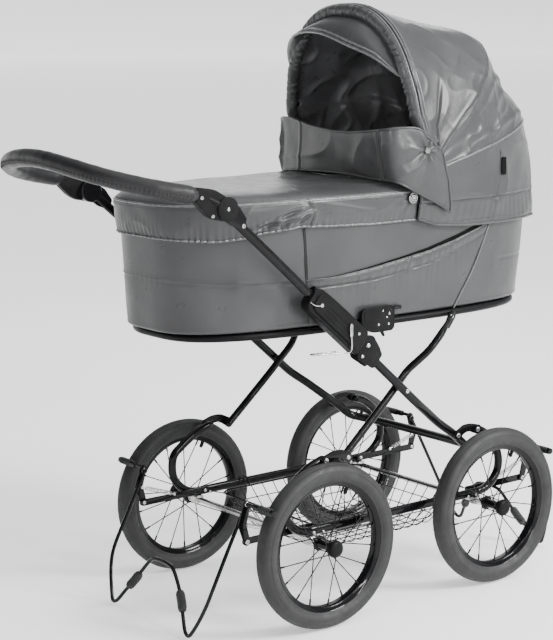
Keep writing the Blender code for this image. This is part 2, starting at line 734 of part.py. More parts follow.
def hood_rows():
    rear, front, half_r, half_f = -0.518, 0.482, 0.2065, 0.2455
    middle = (rear + front) / 2
    xs = [HOOD_FRONT_X + (0.36 - HOOD_FRONT_X) * k / 7 for k in range(7)]
    start = ((0.36 - middle) / (front - middle)) ** (3.6 / 2)
    a0 = math.acos(start)
    xs += [middle + (front - middle) * math.cos(a0 * (1 - k / 7)) ** (2 / 3.6) for k in range(8)]
    rows = []
    for x in xs:
        u = min(1.0, (x - middle) / (front - middle))
        half = half_r + (half_f - half_r) * (x - rear) / (front - rear)
        half *= max(0.0, 1 - u**3.6) ** (1 / 3.6)
        top = hood_top(x)
        row = []
        base = 0.930
        row.append((x, -half, 0.803))
        row.append((x, -half, 0.868))
        for k in range(11):
            a = math.pi * k / 10
            c, s = math.cos(a), math.sin(a)
            y = -half * math.copysign(abs(c) ** (2 / 2.25), c)
            low = min(base, top - 0.02)
            row.append((x, y, low + (top - low) * abs(s) ** (2 / 2.25)))
        row.append((x, half, 0.868))
        row.append((x, half, 0.803))
        rows.append(row)
    return rows


px, pz = HOOD_PIVOT
run = Vector((HOOD_SPLIT[0] - px, 0.0, HOOD_SPLIT[1] - pz)).normalized()
up = Vector((-run.z, 0.0, run.x))
at = Vector((px, 0.0, pz))
front_panel = link(
    "hood_front_panel",
    skin(hood_rows(), cuts=[(at + up * 0.0006, up)]),
    HIDE,
    (px, 0.0, pz),
)
thicken(front_panel, 0.004)
rear_panel = link(
    "hood_rear_panel",
    skin(hood_rows(), cuts=[(at - up * 0.0006, -up), ((px + 0.004, 0, 0), (1, 0, 0))]),
    HIDE,
)
thicken(rear_panel, 0.004)

half = 0.2065 + (0.2455 - 0.2065) * (0.045 + 0.518) / 1.000
rows = [(px - 0.004, -half + 0.016, pz - 0.004), (0.0560, -half + 0.015, 0.9850)]
for k in range(1, 14):
    a = math.pi * k / 14
    c, s = math.cos(a), math.sin(a)
    rows.append((0.0360, -(half - 0.010) * math.copysign(abs(c) ** (2 / 2.25), c), 0.930 + 0.338 * abs(s) ** (2 / 2.25)))
rows = [r for r in rows[:2]] + [r for r in rows[2:] if r[2] > 1.02]
rows += [(0.0560, half - 0.015, 0.9850), (px - 0.004, half - 0.016, pz - 0.004)]
link("hood_bow", tube_mesh(curve_through(rows, 0.03), 0.0055, 8), ZINC, (px, 0.0, pz))
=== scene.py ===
import math

import bmesh
import bpy
import numpy as np
from mathutils import Matrix, Vector, noise


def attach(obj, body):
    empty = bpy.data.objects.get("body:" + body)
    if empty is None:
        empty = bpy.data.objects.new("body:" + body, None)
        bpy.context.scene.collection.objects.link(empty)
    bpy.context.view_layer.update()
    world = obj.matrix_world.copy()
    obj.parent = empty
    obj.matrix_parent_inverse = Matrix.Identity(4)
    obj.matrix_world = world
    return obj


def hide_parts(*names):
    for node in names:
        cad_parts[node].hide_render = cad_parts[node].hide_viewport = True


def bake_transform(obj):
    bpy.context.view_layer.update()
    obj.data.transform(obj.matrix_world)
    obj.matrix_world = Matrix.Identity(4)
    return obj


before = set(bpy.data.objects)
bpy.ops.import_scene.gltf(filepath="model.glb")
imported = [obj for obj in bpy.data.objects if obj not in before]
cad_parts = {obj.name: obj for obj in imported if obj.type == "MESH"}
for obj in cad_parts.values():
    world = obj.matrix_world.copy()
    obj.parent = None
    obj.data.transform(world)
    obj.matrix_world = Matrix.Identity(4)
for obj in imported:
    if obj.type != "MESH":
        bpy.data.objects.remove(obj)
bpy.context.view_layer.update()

# Shapes are written in the design frame, whose X zero is midway between the axles.
OX = 0.1257
SIDES = (("right", -1), ("left", 1))
ENDS = (("rear", -1), ("front", 1))

CROSS = (0.0, 0.468)
HUB = (-0.477, 0.890)
RING_PIN = (0.138, 0.610)
FOLD = (0.148, 0.013)


def leg(s, n):
    """A point along and off the handle's leg, as (x, z)."""
    return (-0.7466 * s + 0.6652 * n, 0.468 + 0.6652 * s + 0.7466 * n)


# ================================================================ mesh tools
class Shape:
    """Vertices and faces that are gathered into one mesh."""

    def __init__(self):
        self.v, self.f = [], []

    def add(self, made):
        base = len(self.v)
        self.v += [tuple(p) for p in made[0]]
        self.f += [tuple(i + base for i in q) for q in made[1]]
        return self


def many(*made):
    s = Shape()
    for m in made:
        s.add(m)
    return s.v, s.f


def through(points, step):
    """Points about step apart on a smooth curve through the given ones."""
    pts = [Vector(p) for p in points]
    out = []
    for i in range(len(pts) - 1):
        p0 = pts[i - 1] if i else pts[0] * 2 - pts[1]
        p1, p2 = pts[i], pts[i + 1]
        p3 = pts[i + 2] if i + 2 < len(pts) else pts[-1] * 2 - pts[-2]
        t1 = max((p1 - p0).length, 1e-6) ** 0.5
        t2 = t1 + max((p2 - p1).length, 1e-6) ** 0.5
        t3 = t2 + max((p3 - p2).length, 1e-6) ** 0.5
        count = max(1, round((p2 - p1).length / step))
        for k in range(count):
            t = t1 + (t2 - t1) * k / count
            a1 = p0 * ((t1 - t) / t1) + p1 * (t / t1)
            a2 = p1 * ((t2 - t) / (t2 - t1)) + p2 * ((t - t1) / (t2 - t1))
            a3 = p2 * ((t3 - t) / (t3 - t2)) + p3 * ((t - t2) / (t3 - t2))
            b1 = a1 * ((t2 - t) / t2) + a2 * (t / t2)
            b2 = a2 * ((t3 - t) / (t3 - t1)) + a3 * ((t - t1) / (t3 - t1))
            out.append(b1 * ((t2 - t) / (t2 - t1)) + b2 * ((t - t1) / (t2 - t1)))
    out.append(pts[-1])
    return out


def lengths(pts):
    out = [0.0]
    for a, b in zip(pts, pts[1:]):
        out.append(out[-1] + (Vector(b) - Vector(a)).length)
    return out


def lerp(a, b, t):
    return a + (b - a) * t


def smooth(t):
    t = min(1.0, max(0.0, t))
    return t * t * (3 - 2 * t)


def bell(x, width):
    return math.exp(-((x / width) ** 2))


def table(stops, x):
    """Value at x of straight lines between (x, value) stops."""
    if x <= stops[0][0]:
        return stops[0][1]
    for (x0, v0), (x1, v1) in zip(stops, stops[1:]):
        if x <= x1:
            return v0 + (v1 - v0) * (x - x0) / (x1 - x0)
    return stops[-1][1]


def tube(points, radius, sides=12, closed=False, caps="round", up=None, squeeze=(1.0, 1.0), roll=None):
    """A bar along the points. squeeze scales it along up and across up."""
    pts = [Vector(p) for p in points]
    n = len(pts)
    rad = list(radius) if isinstance(radius, (list, tuple)) else [radius] * n
    tang = []
    for i in range(n):
        if closed:
            t = pts[(i + 1) % n] - pts[i - 1]
        else:
            t = pts[min(i + 1, n - 1)] - pts[max(i - 1, 0)]
        tang.append(t.normalized())
    if up is None:
        ref = tang[0].cross(Vector((0, 1, 0)))
        if ref.length < 0.2:
            ref = tang[0].cross(Vector((0, 0, 1)))
        ref.normalize()
    else:
        ref = Vector(up).normalized()
    rings = []
    normal = ref
    for i in range(n):
        if up is not None:
            normal = ref
        normal = (normal - tang[i] * normal.dot(tang[i])).normalized()
        side = tang[i].cross(normal)
        rings.append((pts[i], normal, side, tang[i], rad[i]))
    if not closed and caps == "round":
        def dome(ring, sign):
            c, nn, ss, tt, r = ring
            return [(c + tt * (sign * r * 0.75 * math.sin(a)), nn, ss, tt, r * math.cos(a)) for a in (0.5, 0.95, 1.3)]
        rings = list(reversed(dome(rings[0], -1))) + rings + dome(rings[-1], 1)
    v, f = [], []
    for i, (c, nn, ss, tt, r) in enumerate(rings):
        for k in range(sides):
            a = 2 * math.pi * (k + 0.5) / sides + (roll[i] if roll else 0.0)
            v.append(c + nn * (math.cos(a) * r * squeeze[0]) + ss * (math.sin(a) * r * squeeze[1]))
    m = len(rings)
    for i in range(m if closed else m - 1):
        a0, b0 = i * sides, ((i + 1) % m) * sides
        for k in range(sides):
            k2 = (k + 1) % sides
            f.append((a0 + k, a0 + k2, b0 + k2, b0 + k))
    if not closed:
        f.append(tuple(reversed(range(sides))))
        f.append(tuple(range((m - 1) * sides, m * sides)))
    return v, f


def revolve(profile, center, axis, count=48, closed=True, ends=True, first=0.0):
    """A (radius, along) profile turned about an axis."""
    c, ax = Vector(center), Vector(axis).normalized()
    e1 = ax.cross(Vector((0, 0, 1)))
    if e1.length < 0.3:
        e1 = ax.cross(Vector((1, 0, 0)))
    e1.normalize()
    e2 = ax.cross(e1)
    m = len(profile)
    v, f = [], []
    for k in range(count):
        a = 2 * math.pi * k / count + first
        d = e1 * math.cos(a) + e2 * math.sin(a)
        v += [c + d * r + ax * t for r, t in profile]
    for k in range(count):
        a, b = k * m, ((k + 1) % count) * m
        for j in range(m if closed else m - 1):
            j2 = (j + 1) % m
            f.append((a + j, a + j2, b + j2, b + j))
    if not closed and ends:
        f.append(tuple(k * m for k in range(count)))
        f.append(tuple(k * m + m - 1 for k in reversed(range(count))))
    return v, f


def lathe(profile, x, z, side, count=64, closed=True, ends=True, first=0.0):
    """A (radius, distance from the middle) profile turned about a wheel's axis."""
    return revolve([(r, y) for r, y in profile], (x, 0, z), (0, side, 0), count, closed, ends, first)


def rivet(x, z, y, side, r=0.0042, h=0.0018, count=16):
    """A domed head standing on a surface at distance y from the middle."""
    p = [(r, y - 0.0004), (r, y + h * 0.22), (r * 0.92, y + h * 0.55), (r * 0.70, y + h * 0.82), (r * 0.38, y + h * 0.97), (0.0003, y + h)]
    return lathe(p, x, z, side, count, closed=False)


def screw(x, z, y, side, r=0.0036, h=0.0016):
    """A pan head with a socket."""
    p = [(r, y - 0.0004), (r, y + h * 0.7), (r * 0.88, y + h), (r * 0.50, y + h), (r * 0.46, y + h * 0.3), (0.0003, y + h * 0.25)]
    return lathe(p, x, z, side, 18, closed=False)


def slab(outline, y0, y1, bevel=0.0006, segments=2):
    """An (x, z) outline between two values of y, with eased edges."""
    bm = bmesh.new()
    pts = []
    for p in outline:
        if not pts or (Vector(p) - Vector(pts[-1])).length > 1e-5:
            pts.append(p)
    if (Vector(pts[0]) - Vector(pts[-1])).length < 1e-5:
        pts.pop()
    face = bm.faces.new([bm.verts.new((x, y0, z)) for x, z in pts])
    made = bmesh.ops.extrude_face_region(bm, geom=[face])
    moved = [g for g in made["geom"] if isinstance(g, bmesh.types.BMVert)]
    bmesh.ops.translate(bm, vec=(0, y1 - y0, 0), verts=moved)
    bmesh.ops.recalc_face_normals(bm, faces=bm.faces)
    if bevel:
        rim = [e for e in bm.edges if abs(e.verts[0].co.y - e.verts[1].co.y) < 1e-6]
        bmesh.ops.bevel(bm, geom=rim, offset=bevel, segments=segments, profile=0.6, affect="EDGES", clamp_overlap=True)
    bm.verts.index_update()
    v = [tuple(p.co) for p in bm.verts]
    f = [tuple(p.index for p in q.verts) for q in bm.faces]
    bm.free()
    return v, f


def rounded(points, radius, steps=5):
    """An outline with its corners rounded; radius is one number or one for each corner."""
    out = []
    n = len(points)
    rr = radius if isinstance(radius, (list, tuple)) else [radius] * n
    for i in range(n):
        p, a, b = Vector(points[i]), Vector(points[i - 1]), Vector(points[(i + 1) % n])
        da, db = (a - p), (b - p)
        r = min(rr[i], da.length * 0.48, db.length * 0.48)
        if r < 1e-5:
            out.append(tuple(p))
            continue
        s, e = p + da.normalized() * r, p + db.normalized() * r
        for k in range(steps + 1):
            t = k / steps
            q = s * ((1 - t) ** 2) + p * (2 * t * (1 - t)) + e * (t * t)
            out.append((q.x, q.y))
    return out


def arc(center, radius, a0, a1, count, on=None):
    pts = []
    for k in range(count + 1):
        a = math.radians(a0 + (a1 - a0) * k / count)
        q = (center[0] + radius * math.cos(a), center[1] + radius * math.sin(a))
        pts.append(on(*q) if on else q)
    return pts


def coil(p0, p1, radius, wire, turns, sides=7, per=14):
    """A close wound spring, its wire running in along the axis at each end."""
    a, b = Vector(p0), Vector(p1)
    ax = (b - a).normalized()
    e1 = ax.cross(Vector((0, 1, 0))).normalized()
    e2 = ax.cross(e1)
    pts = [a]
    body0, body1 = a + ax * 0.008, b - ax * 0.008
    n = turns * per
    for k in range(n + 1):
        t = 2 * math.pi * k / per
        grow = min(1.0, k / per * 2, (n - k) / per * 2)
        pts.append(body0.lerp(body1, k / n) + (e1 * math.cos(t) + e2 * math.sin(t)) * radius * grow)
    pts.append(b)
    return tube(pts, wire, sides, caps="flat")


def ring_of(center, radius, wire, axis=(0, 1, 0), count=20, sides=7):
    ax = Vector(axis).normalized()
    e1 = ax.cross(Vector((0, 0, 1)))
    if e1.length < 0.3:
        e1 = ax.cross(Vector((1, 0, 0)))
    e1.normalize()
    e2 = ax.cross(e1)
    pts = [Vector(center) + (e1 * math.cos(2 * math.pi * k / count) + e2 * math.sin(2 * math.pi * k / count)) * radius for k in range(count)]
    return tube(pts, wire, sides, closed=True, up=axis)


def side_path(side, rows):
    return [(x, side * y, z) for x, z, y in rows]


def egg(rear_x, front_x, rear_half, front_half, rear_n=3.2, front_n=3.6, count=48):
    middle = (rear_x + front_x) / 2
    out = []
    for k in range(count):
        a = 2 * math.pi * k / count
        c, s = math.cos(a), math.sin(a)
        n = front_n if c >= 0 else rear_n
        reach = front_x - middle if c >= 0 else middle - rear_x
        x = middle + reach * math.copysign(abs(c) ** (2 / n), c)
        half = rear_half + (front_half - rear_half) * (x - rear_x) / (front_x - rear_x)
        out.append((x, half * math.copysign(abs(s) ** (2 / n), s)))
    return out


def even(outline, count):
    """The same closed outline with its points evenly spaced."""
    pts = [Vector((*p, 0)) for p in outline] + [Vector((*outline[0], 0))]
    ln = lengths(pts)
    out, j = [], 0
    for k in range(count):
        d = ln[-1] * k / count
        while ln[j + 1] < d:
            j += 1
        t = (d - ln[j]) / max(1e-9, ln[j + 1] - ln[j])
        q = pts[j].lerp(pts[j + 1], t)
        out.append((q.x, q.y))
    return out


# ================================================================ materials
def principled(name):
    mat = bpy.data.materials.new(name)
    mat.use_nodes = True
    tree = mat.node_tree
    tree.nodes.clear()
    out = tree.nodes.new("ShaderNodeOutputMaterial")
    shader = tree.nodes.new("ShaderNodeBsdfPrincipled")
    tree.links.new(shader.outputs[0], out.inputs[0])
    return mat, tree, shader


def material(
    name, base, second, rough, metallic=0.0, spot=30.0, grain=(900.0, 0.0001), relief=None, kind="noise", weave=None, streak=None, worn=None, **sockets
):
    """A finish whose colour and gloss drift, with grain, soft relief, weave or drawn streaks in its bump."""
    mat, tree, shader = principled(name)
    new, link = tree.nodes.new, tree.links.new
    where = new("ShaderNodeTexCoord").outputs["Object"]
    shader.inputs["Metallic"].default_value = metallic
    for key, value in sockets.items():
        shader.inputs[key.replace("_", " ")].default_value = value

    def texture(scale, detail=3.0, distort=0.0, source=where):
        n = new("ShaderNodeTexNoise")
        n.inputs["Scale"].default_value = scale
        n.inputs["Detail"].default_value = detail
        n.inputs["Distortion"].default_value = distort
        link(source, n.inputs["Vector"])
        return n.outputs["Fac"]

    source = where
    if streak:
        stretch = new("ShaderNodeMapping")
        stretch.inputs["Scale"].default_value = streak
        link(where, stretch.inputs["Vector"])
        source = stretch.outputs[0]

    drift = texture(spot, 2.0, 0.0, source)
    ramp = new("ShaderNodeValToRGB")
    ramp.color_ramp.elements[0].position = 0.36
    ramp.color_ramp.elements[1].position = 0.66
    ramp.color_ramp.elements[0].color = (*second, 1)
    ramp.color_ramp.elements[1].color = (*base, 1)
    link(drift, ramp.inputs[0])
    color = ramp.outputs[0]
    if worn:
        geo = new("ShaderNodeNewGeometry")
        edge = new("ShaderNodeMapRange")
        edge.inputs["From Min"].default_value = 0.50 + worn[1]
        edge.inputs["From Max"].default_value = 0.60 + worn[1]
        link(geo.outputs["Pointiness"], edge.inputs["Value"])
        mix = new("ShaderNodeMix")
        mix.data_type = "RGBA"
        link(edge.outputs[0], mix.inputs[0])
        link(color, mix.inputs[6])
        mix.inputs[7].default_value = (*worn[0], 1)
        color = mix.outputs[2]
    link(color, shader.inputs["Base Color"])

    gloss = new("ShaderNodeMapRange")
    gloss.inputs["From Min"].default_value = 0.3
    gloss.inputs["From Max"].default_value = 0.7
    gloss.inputs["To Min"].default_value = rough[0]
    gloss.inputs["To Max"].default_value = rough[1]
    link(texture(spot * 2.7, 3.0, 0.0, source), gloss.inputs["Value"])
    link(gloss.outputs[0], shader.inputs["Roughness"])

    normal = None

    def bump(height, distance, strength=1.0):
        nonlocal normal
        b = new("ShaderNodeBump")
        b.inputs["Distance"].default_value = distance
        b.inputs["Strength"].default_value = strength
        link(height, b.inputs["Height"])
        if normal is not None:
            link(normal, b.inputs["Normal"])
        normal = b.outputs[0]

    if relief:
        bump(texture(relief[0], 2.0, 0.0), relief[1])
    if grain:
        if kind == "pebble":
            cells = new("ShaderNodeTexVoronoi")
            cells.inputs["Scale"].default_value = grain[0]
            cells.inputs["Randomness"].default_value = 0.9
            link(where, cells.inputs["Vector"])
            bump(cells.outputs["Distance"], -grain[1])
            bump(texture(grain[0] * 2.3), grain[1] * 0.5)
        else:
            bump(texture(grain[0], 2.0, 0.0, source), grain[1])
    if weave:
        for way in ("X", "Y", "Z"):
            wave = new("ShaderNodeTexWave")
            wave.bands_direction = way
            wave.inputs["Scale"].default_value = weave[0]
            wave.inputs["Distortion"].default_value = 0.6
            wave.inputs["Detail"].default_value = 1.0
            link(where, wave.inputs["Vector"])
            bump(wave.outputs["Fac"], weave[1])
    link(normal, shader.inputs["Normal"])
    return mat


ENAMEL = material(
    "black_enamel", (0.0048, 0.0048, 0.0054), (0.0030, 0.0030, 0.0034), (0.14, 0.24), spot=22, grain=(260, 0.00003), relief=(38, 0.00010),
    worn=((0.030, 0.030, 0.032), 0.05), Coat_Weight=0.24, Coat_Roughness=0.03, Specular_IOR_Level=0.06,
)
SATIN = material(
    "satin_enamel", (0.0048, 0.0048, 0.0054), (0.0032, 0.0032, 0.0036), (0.34, 0.48), spot=22, grain=(260, 0.00004), relief=(38, 0.00010),
    worn=((0.024, 0.024, 0.026), 0.05), Specular_IOR_Level=0.10,
)
ZINC = material(
    "zinc", (0.52, 0.52, 0.51), (0.38, 0.38, 0.38), (0.20, 0.36), 1.0, spot=45, grain=(700, 0.00004), worn=((0.78, 0.78, 0.77), 0.05),
)
RUBBER = material(
    "tyre_rubber", (0.0210, 0.0210, 0.0216), (0.0140, 0.0140, 0.0145), (0.48, 0.66), spot=28, grain=(1500, 0.00008), relief=(160, 0.00010),
    worn=((0.030, 0.030, 0.031), 0.05), Specular_IOR_Level=0.36,
)
PLASTIC = material(
    "black_plastic", (0.0064, 0.0064, 0.0068), (0.0040, 0.0040, 0.0043), (0.36, 0.52), spot=35, grain=(1700, 0.00006), relief=(90, 0.00008),
    worn=((0.022, 0.022, 0.024), 0.05), Specular_IOR_Level=0.09,
)
HIDE = material(
    "grey_leatherette", (0.0470, 0.0476, 0.0487), (0.0378, 0.0383, 0.0393), (0.27, 0.38), spot=9, grain=(620, 0.00010), relief=(26, 0.0010),
    kind="pebble", worn=((0.090, 0.090, 0.093), 0.08), Coat_Weight=0.06, Coat_Roughness=0.16, Specular_IOR_Level=0.28,
)
PIPING = material(
    "leatherette_piping", (0.088, 0.089, 0.091), (0.064, 0.065, 0.067), (0.22, 0.34), spot=30, grain=(900, 0.00010), relief=(120, 0.0002),
    kind="pebble", Coat_Weight=0.25, Coat_Roughness=0.18,
)
SLEEVE = material(
    "black_leatherette", (0.0170, 0.0170, 0.0178), (0.0110, 0.0110, 0.0116), (0.30, 0.46), spot=24, grain=(700, 0.00020), relief=(60, 0.0006),
    kind="pebble", worn=((0.034, 0.034, 0.036), 0.04), Coat_Weight=0.04, Coat_Roughness=0.24, Specular_IOR_Level=0.18,
)
LINING = material(
    "dark_lining", (0.098, 0.098, 0.102), (0.062, 0.062, 0.066), (0.26, 0.40), spot=12, grain=(900, 0.0001), relief=(30, 0.0016),
    weave=(260.0, 0.00008), Sheen_Weight=0.10,
)
# black: the fabric tag's own colour, also used for the painted shade strip inside the pocket's opening
TAG_AND_POCKET_SHADE = material("black_tag", (0.006, 0.006, 0.006), (0.004, 0.004, 0.004), (0.6, 0.8), spot=120, grain=(1500, 0.0001), weave=(420.0, 0.00010), Specular_IOR_Level=0.05)
COTTON = material(
    "white_cotton", (0.72, 0.72, 0.70), (0.60, 0.60, 0.59), (0.78, 0.92), spot=14, grain=(1200, 0.0001), relief=(30, 0.0012),
    weave=(300.0, 0.00012), Sheen_Weight=0.2,
)
# dark: the stitching thread's own colour, also laid as thin lines in seam grooves as painted seam shadow
THREAD_AND_SEAM_SHADE = material("thread", (0.020, 0.020, 0.021), (0.012, 0.012, 0.013), (0.55, 0.72), spot=300, grain=(2600, 0.00008))
CHROME = material(
    "bright_steel", (0.46, 0.46, 0.45), (0.34, 0.34, 0.34), (0.12, 0.24), 1.0, spot=60, grain=(900, 0.00002), worn=((0.84, 0.84, 0.83), 0.06),
)
CORD = material("light_cord", (0.58, 0.57, 0.54), (0.40, 0.39, 0.37), (0.6, 0.8), spot=200, grain=(1800, 0.00015))


# ================================================================ pieces
def mesh_of(name, made, shift=True, tidy=True, sharp=38.0):
    v, f = (made.v, made.f) if isinstance(made, Shape) else made
    mesh = bpy.data.meshes.new(name)
    mesh.from_pydata([(p[0] + (OX if shift else 0.0), p[1], p[2]) for p in v], [], f)
    mesh.validate()
    if tidy:
        bm = bmesh.new()
        bm.from_mesh(mesh)
        bmesh.ops.recalc_face_normals(bm, faces=bm.faces)
        bm.to_mesh(mesh)
        bm.free()
    mesh.shade_smooth()
    if sharp:
        mesh.set_sharp_from_angle(angle=math.radians(sharp))
    return mesh


def piece(name, made, mat, body=None, stands_for=(), sharp=38.0, tidy=True):
    obj = bpy.data.objects.new(name, mesh_of(name, made, tidy=tidy, sharp=sharp))
    bpy.context.scene.collection.objects.link(obj)
    obj.data.materials.append(mat)
    if body:
        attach(obj, body)
    if stands_for:
        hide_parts(*stands_for)
    return obj


fittings = {}


def fit(body, mat, *made):
    """Small parts that ride on one body and share a finish, kept in one mesh."""
    s = fittings.setdefault((body, mat.name), Shape())
    for m in made:
        s.add(m)


# ================================================================ chassis
REAR_SPRING = [
    (-0.205, 0.342), (-0.237, 0.331), (-0.257, 0.3195), (-0.282, 0.303), (-0.301, 0.287),
    (-0.307, 0.261), (-0.303, 0.235), (-0.287, 0.213), (-0.265, 0.1985), (-0.2402, 0.1940),
]
FRONT_SPRING = [
    (0.228, 0.342), (0.250, 0.334), (0.272, 0.320), (0.290, 0.302), (0.301, 0.280),
    (0.3065, 0.256), (0.302, 0.232), (0.287, 0.213), (0.265, 0.1985), (0.2402, 0.1940),
]

for where, side in SIDES:
    xs = [-0.2385 + 0.477 * k / 30 for k in range(31)]
    piece(
        f"{where}_rail",
        tube([(x, side * 0.2045, 0.1935) for x in xs], 0.010, 20, up=(0, 0, 1), squeeze=(1.0, 0.62)),
        ENAMEL, "chassis", [f"{where}_side_rail"],
    )
    for end, path in (("rear", REAR_SPRING), ("front", FRONT_SPRING)):
        pts = through([(x, side * 0.2045, z) for x, z in path], 0.006)
        ln = lengths(pts)
        radii = []
        for d in ln:
            near = min(d, ln[-1] - d)
            radii.append(0.0092 if near > 0.03 else lerp(0.0088, 0.0092, near / 0.03))
        piece(f"{end}_{where}_spring", tube(pts, radii, 18), ENAMEL, "chassis", [f"{end}_{where}_c_spring"])
    # rivets that hold the springs to the rail and the links to the springs
    for x, z, y in ((-0.2330, 0.1902, 0.2107), (-0.2086, 0.1879, 0.2107), (0.2330, 0.1902, 0.2107), (0.2086, 0.1879, 0.2107)):
        fit("chassis", ZINC, rivet(x, z, y, side, 0.0040, 0.0022))
        fit("chassis", ZINC, rivet(x, z, -0.1985, -side, 0.0034, 0.0018))

for end, sign in ENDS:
    x = sign * 0.2394
    bar = revolve(
        [(0.0003, -0.2815), (0.0048, -0.2812), (0.0060, -0.2800), (0.0060, 0.2800), (0.0048, 0.2812), (0.0003, 0.2815)],
        (x, 0, 0.175), (0, 1, 0), 24, closed=False,
    )
    made = Shape().add(bar)
    for _, side in SIDES:
        made.add(slab(rounded([(x - 0.013, 0.1665), (x + 0.013, 0.1665), (x + 0.010, 0.1845), (x - 0.010, 0.1845)], 0.004), side * 0.1965, side * 0.2125, 0.0010))
        made.add(lathe([(0.0062, 0.2128), (0.0105, 0.2128), (0.0105, 0.2150), (0.0062, 0.2150)], x, 0.175, side, 24))
        made.add(lathe([(0.0062, 0.2262), (0.0100, 0.2262), (0.0100, 0.2282), (0.0062, 0.2282)], x, 0.175, side, 24))
    piece(f"{end}_axle_bar", made, ZINC, "chassis", [f"{end}_axle"])

# the basket: a rim wire, two hoops below it, and wires both ways with a slight sag
LOW, HIGH = (-0.148, 0.158, 0.128), (-0.1945, 0.2025, 0.1815)


def hoop(z):
    t = (z - 0.1135) / (0.1885 - 0.1135)
    x0, x1, y = (lerp(a, b, t) for a, b in zip(LOW, HIGH))
    pts = rounded([(x0, -y), (x1, -y), (x1, y), (x0, y)], 0.034, 8)
    return [(px, py, z) for px, py in pts]


basket = Shape()
for z, r in ((0.1885, 0.0022), (0.1640, 0.0012), (0.1390, 0.0012)):
    pts = through(hoop(z) + [hoop(z)[0]], 0.012)[:-1]
    basket.add(tube(pts, r, 8, closed=True, up=(0, 0, 1)))
for k in range(12):
    t = k / 11
    x = lerp(LOW[0] + 0.002, LOW[1] - 0.002, t)
    xt = lerp(HIGH[0] + 0.026, HIGH[1] - 0.026, t)
    edge = 0.0030 * (2 * abs(t - 0.5)) ** 2
    rows = [
        (xt, -0.1815, 0.1888), (lerp(x, xt, 0.55), -0.1560, 0.1530), (x, -0.1360, 0.1225 + edge), (x, -0.1200, 0.1160 + edge),
        (x, -0.0600, 0.1142 + edge), (x, 0.0, 0.1138 + edge), (x, 0.0600, 0.1142 + edge), (x, 0.1200, 0.1160 + edge),
        (x, 0.1360, 0.1225 + edge), (lerp(x, xt, 0.55), 0.1560, 0.1530), (xt, 0.1815, 0.1888),
    ]
    basket.add(tube(through(rows, 0.010), 0.00115, 6))
for k in range(10):
    t = k / 9
    y = lerp(-0.120, 0.120, t)
    yt = lerp(-0.152, 0.152, t)
    edge = 0.0030 * (2 * abs(t - 0.5)) ** 2
    rows = [
        (-0.1945, yt, 0.1888), (-0.1730, lerp(y, yt, 0.55), 0.1530), (-0.1560, y, 0.1245 + edge), (-0.1400, y, 0.1176 + edge),
        (-0.0500, y, 0.1158 + edge), (0.0600, y, 0.1158 + edge), (0.1490, y, 0.1176 + edge),
        (0.1650, y, 0.1245 + edge), (0.1820, lerp(y, yt, 0.55), 0.1530), (0.2025, yt, 0.1888),
    ]
    basket.add(tube(through(rows, 0.010), 0.00115, 6))
for _, side in SIDES:
    for x in (-0.120, 0.125):
        rows = [(x, side * 0.1815, 0.1885), (x, side * 0.1880, 0.1990), (x, side * 0.1960, 0.2062), (x, side * 0.2045, 0.2062), (x, side * 0.2125, 0.2020), (x, side * 0.2128, 0.1930)]
        basket.add(tube(through(rows, 0.004), 0.0018, 8))
        rows = [(x + 0.011, side * 0.1815, 0.1885), (x + 0.011, side * 0.1880, 0.1990), (x + 0.011, side * 0.1960, 0.2062), (x + 0.011, side * 0.2045, 0.2062), (x + 0.011, side * 0.2125, 0.2020), (x + 0.011, side * 0.2128, 0.1930)]
        basket.add(tube(through(rows, 0.004), 0.0018, 8))
piece("basket_wires", basket, ENAMEL, "chassis", ["wire_basket"])

